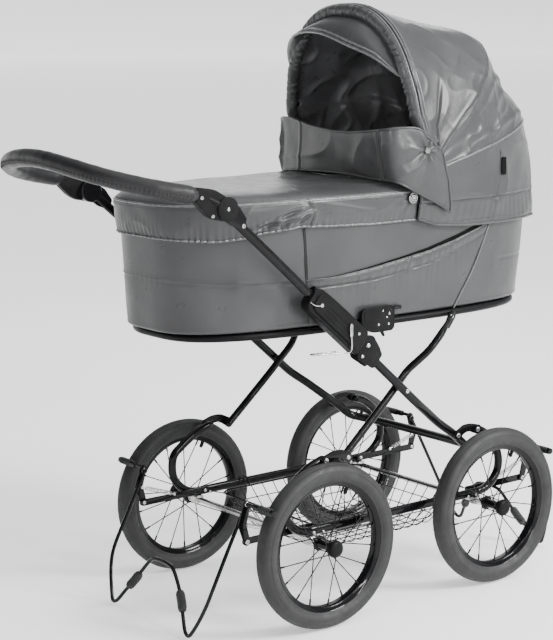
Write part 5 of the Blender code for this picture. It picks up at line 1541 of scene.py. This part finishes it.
grid_n = grid_normals(CANOPY, False, (0.1, 0, 0.9))
made = Shape()
for offset in (0.85, -0.85):
    path, outs = on_canopy(lambda j: float(seam_a[56, j]) + offset)
    made.add(stitches_along(path, outs, lift=0.0005))
path, outs = on_canopy(lambda j: float(seam_a[56, j]))
# the dark line in the seam: partly thread, partly painted shadow of the groove
made.add(tube(path, 0.0008, 8))
across(piece("hood_seam_stitches", made, THREAD_AND_SEAM_SHADE))
path, outs = on_canopy(lambda j: 14.0, lift=0.0012)
fit("carrycot", PIPING, tube(path, 0.0027, 10))

# lining below the canopy, slack between the bows
phis = [lerp(14.0, 92.5, k / 110) for k in range(111)]
L = hood_grid(phis, 220, 0.0075)
LN = grid_normals(L, False, (0.1, 0, 0.9))
LP = np.array(phis)[:, None] * np.ones((1, 220))
RL = np.sqrt((L[..., 0] - C0[0]) ** 2 + (L[..., 2] - C0[1]) ** 2)
slack = np.sin(np.pi * np.clip((LP - 14) / 40, 0, 1)) + np.sin(np.pi * np.clip((LP - 54) / 38.5, 0, 1))
d = -0.012 * np.abs(slack) * np.sin(np.pi * np.linspace(0, 1, 220))[None, :] - 0.014 * crease(L, 7, 71.0, (0.8, 1, 1), 2.4) + 0.008 * wave(L, 11, 74.0)
d -= 0.006 * crease(L, 15, 77.0, (1, 0.8, 1), 2.6)
low_part = 1 / (1 + np.exp((L[..., 2] - 1.058 - 0.006 * np.sin(L[..., 0] * 30)) / 0.0018))
d -= low_part * (0.013 + 0.007 * wave(L, 18, 79.0, (1, 1, 0.5)) + 0.006 * crease(L, 12, 83.0, (1, 1, 0.6), 2.4)) * np.clip((RL - 0.10) / 0.06, 0, 1)
d = np.minimum(d, 0.0015)
L = L + LN * d[..., None]
lining = piece("hood_lining", sheet_solid(L, 0.0012, False, (0.1, 0, 0.9)), LINING, sharp=0)
across(lining)
fit("carrycot", LINING, tube([tuple(p) for p in L[0]], 0.0030, 10))

# skirt of the hood: from the piping down to a gathered hem
HOOD_HEM = [(0.040, 0.8270), (0.062, 0.8200), (0.090, 0.8110), (0.175, 0.8045), (0.240, 0.8035), (0.357, 0.8035), (0.482, 0.8040)]
FRONT_EDGE = [(0.820, 0.0415), (0.895, 0.0430), (0.915, 0.0560), (0.932, 0.0833)]
rows_n, cols = 56, 320
topline = hood_row(13.8, cols)
hem_pts = []
for k in range(721):
    a = lerp(0.004, math.pi - 0.004, 0.5 - 0.5 * math.cos(math.pi * k / 720))
    x = -0.018 + 0.500 * math.sin(a) ** (2 / 3.5)
    half = 0.2065 + 0.039 * (x + 0.518) / 1.000
    hem_pts.append((x, -half * math.copysign(abs(math.cos(a)) ** (2 / 3.5), math.cos(a)), table(HOOD_HEM, x)))
hem_pts = [p for p in hem_pts if p[0] > 0.0415]
hemline = resample(hem_pts, cols)
P = np.zeros((rows_n, cols, 3))
FRONT_X = [(0.803, 0.482), (0.880, 0.483), (0.940, 0.478), (1.020, 0.4675), (1.03, 0.4665)]
for i in range(rows_n):
    t = i / (rows_n - 1)
    for j in range(cols):
        p = topline[j] * (1 - t) + hemline[j] * t
        # the end of the hood swells out below the piping
        want = table(FRONT_X, p[2])
        plain = lerp(topline[cols // 2][0], 0.482, t)
        u = max(0.0, (p[0] - 0.28) / 0.20)
        p[0] += (want - plain) * min(1.0, u) ** 2
        # and its front edge hangs straight down behind the wind flap
        end = 0 if j < cols // 2 else cols - 1
        corner = topline[end] * (1 - t) + hemline[end] * t
        near = 1 - smooth(abs(j - end) / 26)
        p[0] += (table(FRONT_EDGE, corner[2]) - corner[0]) * near
        P[i, j] = p
N = grid_normals(P, False, (0.1, 0, 0.9))
X, Y, Z = P[..., 0], P[..., 1], P[..., 2]
T = np.linspace(0, 1, rows_n)[:, None] * np.ones((1, cols))
J = np.linspace(0, 1, cols)[None, :] * np.ones((rows_n, 1))
d = 0.0030 * wave(P, 9, 81.0) + 0.0014 * wave(P, 26, 84.0) + 0.0024 * crease(P, 8, 87.0, (1, 1, 1.3), 3.0)
seam_c = 0.8590
d -= 0.0024 * np.exp(-(((Z - seam_c) / 0.0019) ** 2))
d += 0.0012 * np.exp(-(((Z - seam_c - 0.0055) / 0.0040) ** 2))
s_len = J * 1.24
lower = np.clip((seam_c - Z) / 0.01, 0, 1)
d += lower * 0.0004 * np.sin(2 * math.pi * s_len / 0.021 + 4 * wave(P, 8, 90.0)) * np.clip((Z - 0.803) / 0.02 + 0.3, 0, 1)
for sy in (-1, 1):
    sx = np.interp(Z, [0.804, 0.829, 0.859, 0.883, 0.937, 0.970, 1.0], [0.250, 0.259, 0.268, 0.276, 0.281, 0.276, 0.270])
    d -= (Y * sy > 0.1) * 0.0024 * np.exp(-(((X - sx) / 0.0020) ** 2))
    d += (Y * sy > 0.1) * 0.0012 * np.exp(-(((X - sx + 0.006) / 0.0042) ** 2))
d *= np.clip(T / 0.04, 0, 1)
d += 0.0036 * np.sin(np.pi * T) ** 0.7
P = P + N * d[..., None]
SKIRT = P
hood_skirt = piece("hood_skirt", sheet_solid(P, 0.0020, False, (0.1, 0, 0.9)), HIDE, "carrycot", sharp=0)
hem = [tuple(p) for p in P[-1]]
ln = lengths(hem)
radii = [0.0029 * (1 + 0.12 * math.sin(2 * math.pi * s / 0.010 + 2 * noise.noise(Vector((s * 30, 8, 0))))) for s in ln]
fit("carrycot", HIDE, tube(hem, radii, 10))
for e in (0, -1):
    fit("carrycot", HIDE, tube([tuple(p) for p in P[:, e]], 0.0022, 8))
    # a dark line just inside each front edge: partly thread, partly painted shadow along the edge
    fit("carrycot", THREAD_AND_SEAM_SHADE, tube([(p[0] - 0.0030, p[1], p[2]) for p in P[14:, e]], 0.0017, 8))
# a dark line down each upright seam of the skirt: partly thread, partly painted shadow of the groove
for lo, hi in ((0, cols // 2), (cols // 2, cols)):
    line = []
    for i in range(6, rows_n - 1):
        sx = float(np.interp(P[i, lo + 40, 2], [0.804, 0.829, 0.859, 0.883, 0.937, 0.970, 1.0], [0.250, 0.259, 0.268, 0.276, 0.281, 0.276, 0.270]))
        j = lo + int(np.argmin(np.abs(P[i, lo:hi, 0] - sx) + 10 * (np.abs(P[i, lo:hi, 1]) < 0.15)))
        if P[i, j, 2] < 0.985:
            line.append(tuple(P[i, j]))
    fit("carrycot", THREAD_AND_SEAM_SHADE, tube(through(line, 0.006), 0.0008, 8))
# a dark line along the seam round the skirt: partly thread, partly painted shadow of its groove
seam_line, seam_outs = [], []
NN = grid_normals(P, False, (0.1, 0, 0.9))
for j in range(3, cols - 3):
    i = int(np.argmin(np.abs(P[:, j, 2] - seam_c)))
    i = min(rows_n - 2, max(1, i))
    lo, hi = (i - 1, i) if P[i, j, 2] < seam_c else (i, i + 1)
    t = (P[lo, j, 2] - seam_c) / max(1e-6, P[lo, j, 2] - P[hi, j, 2])
    seam_line.append(tuple(P[lo, j] * (1 - t) + P[hi, j] * t))
fit("carrycot", THREAD_AND_SEAM_SHADE, tube(seam_line, 0.0009, 8))
for z0 in (0.8605, 0.8150):
    path, outs = [], []
    NN = grid_normals(P, False, (0.1, 0, 0.9))
    for j in range(4, cols - 4):
        i = int(np.argmin(np.abs(P[:, j, 2] - z0)))
        path.append(tuple(P[i, j]))
        outs.append(tuple(NN[i, j]))
    path = [tuple(p) for p in resample(path, len(path))]
    fit("carrycot", THREAD_AND_SEAM_SHADE, stitches_along(path, outs, lift=0.0005))

# small plain fabric tag caught in the upright seam
tag_y = float(min(P[:, :, 1][(np.abs(P[..., 0] - 0.290) < 0.012) & (np.abs(P[..., 2] - 0.924) < 0.02)])) - 0.0006
tag = slab(rounded([(0.2840, 0.9050), (0.2970, 0.9050), (0.2970, 0.9430), (0.2840, 0.9430)], 0.0008, 2), tag_y - 0.0008, tag_y + 0.0012, 0.0003)
fit("carrycot", TAG_AND_POCKET_SHADE, tag)

# padded casing over the bow, drawn into gathers along its two pipings
BOW_X = [(0.950, 0.098), (0.973, 0.089), (1.013, 0.0600), (1.044, 0.0500), (1.086, 0.0460), (1.130, 0.0400), (1.180, 0.0370), (1.250, 0.0330), (1.290, 0.0300)]


def bow_row(inset, shift, count, start_z=0.962):
    row = hood_row(94.9, 900, inset, 0.012)
    pts = []
    for p in row:
        if p[2] >= start_z:
            pts.append((table(BOW_X, p[2]) + shift, p[1], p[2]))
    return resample(pts, count)


count = 420
centre = bow_row(0.0155, -0.001, count)
lns = lengths([tuple(p) for p in centre])
rings, sides = [], 26
v, f = [], []
for i in range(count):
    p = Vector(centre[i])
    t = (Vector(centre[min(count - 1, i + 1)]) - Vector(centre[max(0, i - 1)])).normalized()
    out = Vector((0.0, p.y * 0.9, p.z - 0.98)).normalized()
    out = (out - t * out.dot(t)).normalized()
    fore = t.cross(out).normalized()
    if fore.x > 0:
        fore = -fore
    taper = 0.55 + 0.45 * smooth(min(i, count - 1 - i) / 22)
    for k in range(sides):
        a = 2 * math.pi * k / sides
        run = lns[i] + 0.0030 * math.sin(a * 2 + 5 * noise.noise(Vector((lns[i] * 14, 1.0, 0))))
        drift = noise.noise(Vector((lns[i] * 26, 2.0, 0)))
        patchy = 0.25 + 1.1 * abs(noise.noise(Vector((lns[i] * 11, 6.0, math.sin(a) * 0.6))))
        pleat = 0.0019 * patchy * math.sin(2 * math.pi * run / 0.0190 + 9.0 * drift) + 0.0008 * patchy * math.sin(2 * math.pi * run / 0.0083 + 12.0 * drift)
        pleat -= 0.0014 * max(0.0, math.sin(2 * math.pi * run / 0.041 + 6.0 * drift)) ** 6
        pleat *= 1 - 0.75 * max(0.0, math.sin(a)) ** 1.5
        q = p + out * (math.sin(a) * (0.0140 * taper + pleat)) + fore * (math.cos(a) * (0.0135 * taper + pleat))
        v.append(tuple(q))
for i in range(count - 1):
    for k in range(sides):
        k2 = (k + 1) % sides
        f.append((i * sides + k, i * sides + k2, (i + 1) * sides + k2, (i + 1) * sides + k))
f.append(tuple(reversed(range(sides))))
f.append(tuple(range((count - 1) * sides, count * sides)))
casing = piece("hood_bow_casing", (v, f), HIDE, "hood", ["hood_bow"], sharp=0)
for inset, shift, r in ((0.0012, 0.0135, 0.0026), (0.0010, 0.0055, 0.0022), (0.0030, -0.0020, 0.0027)):
    fit("hood", PIPING, tube([tuple(p) for p in bow_row(inset, shift, 220)], r, 10))

# visor: a slack flap from the bow to a free edge with two rows of piping
free_edge = [
    (0.040, -0.2015, 1.1149), (0.020, -0.1642, 1.1397), (0.0, -0.1313, 1.1647), (-0.015, -0.0657, 1.1896), (-0.015, 0.0214, 1.2134),
    (-0.005, 0.1064, 1.2152), (0.010, 0.1629, 1.1997), (0.024, 0.1905, 1.1850), (0.034, 0.2020, 1.1600), (0.044, 0.2030, 1.1250), (0.050, 0.1990, 1.0960),
]
edge_line = resample(through(free_edge, 0.004), 150)
root_full = bow_row(0.0250, -0.002, 900)
i0 = int(np.argmin(np.linalg.norm(root_full[:450] - np.array((0.046, -0.205, 1.108)), axis=1)))
i1 = 450 + int(np.argmin(np.linalg.norm(root_full[450:] - np.array((0.050, 0.205, 1.092)), axis=1)))
root = resample(root_full[i0 : i1 + 1], 150)
rows_n = 26
P = np.zeros((rows_n, 150, 3))
for i in range(rows_n):
    t = i / (rows_n - 1)
    P[i] = root * (1 - t) + edge_line * t
    P[i, :, 0] -= 0.012 * math.sin(math.pi * t) * np.sin(np.pi * np.linspace(0, 1, 150)) ** 0.6
N = grid_normals(P, False, (0.15, 0, 1.0))
d = 0.0030 * wave(P, 12, 95.0) + 0.0022 * crease(P, 11, 97.0, (1, 0.6, 1), 2.5)
d *= np.clip(np.linspace(0, 1, rows_n)[:, None] / 0.15, 0, 1)
P = P + N * d[..., None]
visor = piece("hood_visor", sheet_solid(P, 0.0020, False, (0.15, 0, 1.0)), HIDE, "hood", sharp=0)
inner = []
for j in range(150):
    step = Vector(P[-6, j]) - Vector(P[-1, j])
    inner.append(tuple(Vector(P[-1, j]) + (step.normalized() if step.length > 1e-6 else Vector((0, 0, 1))) * 0.0085 * min(1.0, step.length / 0.006)))
fit("hood", PIPING, tube([tuple(p) for p in P[-1]], 0.0030, 10), tube(inner, 0.0024, 10))

# hinge plate of the hood behind its fabric
for where, side in SIDES:
    fit("hood", PLASTIC, lathe([(0.0003, 0.2200), (0.0180, 0.2200), (0.0190, 0.2215), (0.0180, 0.2240), (0.0003, 0.2246)], 0.090, 0.970, side, 28, closed=False))

# ================================================================ gathered fittings
BY_NAME = {m.name: m for m in (ENAMEL, ZINC, RUBBER, PLASTIC, HIDE, PIPING, SLEEVE, LINING, TAG_AND_POCKET_SHADE, COTTON, THREAD_AND_SEAM_SHADE, CHROME, CORD)}
for (body, finish), shape in fittings.items():
    piece(f"fittings_{body}_{finish}", shape, BY_NAME[finish], body)

# ================================================================ floor, light and camera
floor = bpy.data.meshes.new("floor")
floor.from_pydata([(-60, -60, 0), (60, -60, 0), (60, 60, 0), (-60, 60, 0)], [], [(0, 1, 2, 3)])
ground = bpy.data.objects.new("floor", floor)
bpy.context.scene.collection.objects.link(ground)
pale = material("pale_floor", (0.90, 0.90, 0.90), (0.885, 0.885, 0.885), (0.75, 0.85), spot=0.7, grain=(140, 0.00005), Specular_IOR_Level=0.25, Emission_Color=(1, 1, 1, 1), Emission_Strength=0.46)
ground.data.materials.append(pale)
# the studio's far wall, a low ring that meets the floor
wall = bpy.data.meshes.new("far_wall")
v, f = [], []
for k in range(96):
    a = 2 * math.pi * k / 96
    for radius, z in ((50.0, 0.0), (52.0, 0.25), (54.0, 1.5), (55.0, 14.0)):
        v.append((radius * math.cos(a), radius * math.sin(a), z))
for k in range(96):
    for m in range(3):
        a, b = 4 * k + m, 4 * ((k + 1) % 96) + m
        f.append((a, b, b + 1, a + 1))
wall.from_pydata(v, [], f)
wall.shade_smooth()
backdrop = bpy.data.objects.new("far_wall", wall)
bpy.context.scene.collection.objects.link(backdrop)
backdrop.data.materials.append(material("pale_wall", (0.90, 0.90, 0.90), (0.885, 0.885, 0.885), (0.75, 0.85), spot=0.7, grain=(140, 0.00005), Specular_IOR_Level=0.1, Emission_Color=(1, 1, 1, 1), Emission_Strength=0.60))

world = bpy.data.worlds.new("studio")
world.use_nodes = True
nodes, links = world.node_tree.nodes, world.node_tree.links
nodes["Background"].inputs[1].default_value = 0.55
# the room is dimmer towards the foot end
direction = nodes.new("ShaderNodeTexCoord")
split = nodes.new("ShaderNodeSeparateXYZ")
links.new(direction.outputs["Generated"], split.inputs[0])
dim = nodes.new("ShaderNodeValToRGB")
dim.color_ramp.elements[0].position = 0.05
dim.color_ramp.elements[0].color = (0.12, 0.12, 0.13, 1)
dim.color_ramp.elements[1].position = 0.62
dim.color_ramp.elements[1].color = (0.95, 0.97, 1.0, 1)
shift = nodes.new("ShaderNodeMapRange")
shift.inputs["From Min"].default_value = -1.0
shift.inputs["From Max"].default_value = 1.0
links.new(split.outputs["X"], shift.inputs["Value"])
links.new(shift.outputs[0], dim.inputs[0])
links.new(dim.outputs[0], nodes["Background"].inputs[0])
bpy.context.scene.world = world


def softbox(name, at, to, size, power):
    light = bpy.data.lights.new(name, "AREA")
    light.shape = "RECTANGLE"
    light.size, light.size_y = size
    light.energy = power
    obj = bpy.data.objects.new(name, light)
    bpy.context.scene.collection.objects.link(obj)
    obj.location = at
    obj.rotation_euler = (Vector(to) - Vector(at)).to_track_quat("-Z", "Y").to_euler()


softbox("key", (2.1, -3.3, 2.9), (0, 0, 0.7), (1.3, 1.2), 300)
softbox("strip", (0.2, -3.9, 1.9), (0, 0, 0.6), (0.16, 2.0), 75)
softbox("back", (2.4, 2.8, 2.6), (0, 0, 0.8), (2.0, 1.6), 28)
# a soft lamp in front of the hood, for its visor, bow and lining
lamp = bpy.data.lights.new("hood_lamp", "SPOT")
lamp.energy = 125
lamp.spot_size = math.radians(21)
lamp.spot_blend = 1.0
lamp.shadow_soft_size = 0.30
front = bpy.data.objects.new("hood_lamp", lamp)
bpy.context.scene.collection.objects.link(front)
front.location = (-2.3, -1.5, 2.0)
front.rotation_euler = (Vector((0.20, 0.0, 1.10)) - Vector((-2.3, -1.5, 2.0))).to_track_quat("-Z", "Y").to_euler()
overhead = bpy.data.lights.new("overhead", "SUN")
overhead.energy = 2.6
overhead.angle = math.radians(75)
sky = bpy.data.objects.new("overhead", overhead)
bpy.context.scene.collection.objects.link(sky)
sky.rotation_euler = (Vector((-0.22, 0.26, -1.0))).to_track_quat("-Z", "Y").to_euler()

AZ, EL, ROLL = math.radians(-37.2942), math.radians(9.8814), math.radians(-0.7211)
back = Vector((math.sin(AZ) * math.cos(EL), -math.cos(AZ) * math.cos(EL), math.sin(EL)))
right = (-back).cross(Vector((0, 0, 1))).normalized()
up = right.cross(-back)
r2 = right * math.cos(ROLL) + up * math.sin(ROLL)
u2 = up * math.cos(ROLL) - right * math.sin(ROLL)
camera = bpy.data.cameras.new("camera")
camera.lens = 98.593
camera.sensor_width = 36.0
eye = bpy.data.objects.new("camera", camera)
bpy.context.scene.collection.objects.link(eye)
eye.matrix_world = Matrix(
    (
        (r2.x, u2.x, back.x, -2.42515 + OX),
        (r2.y, u2.y, back.y, -2.96894),
        (r2.z, u2.z, back.z, 1.25499),
        (0, 0, 0, 1),
    )
)
bpy.context.scene.camera = eye

bpy.context.view_layer.update()
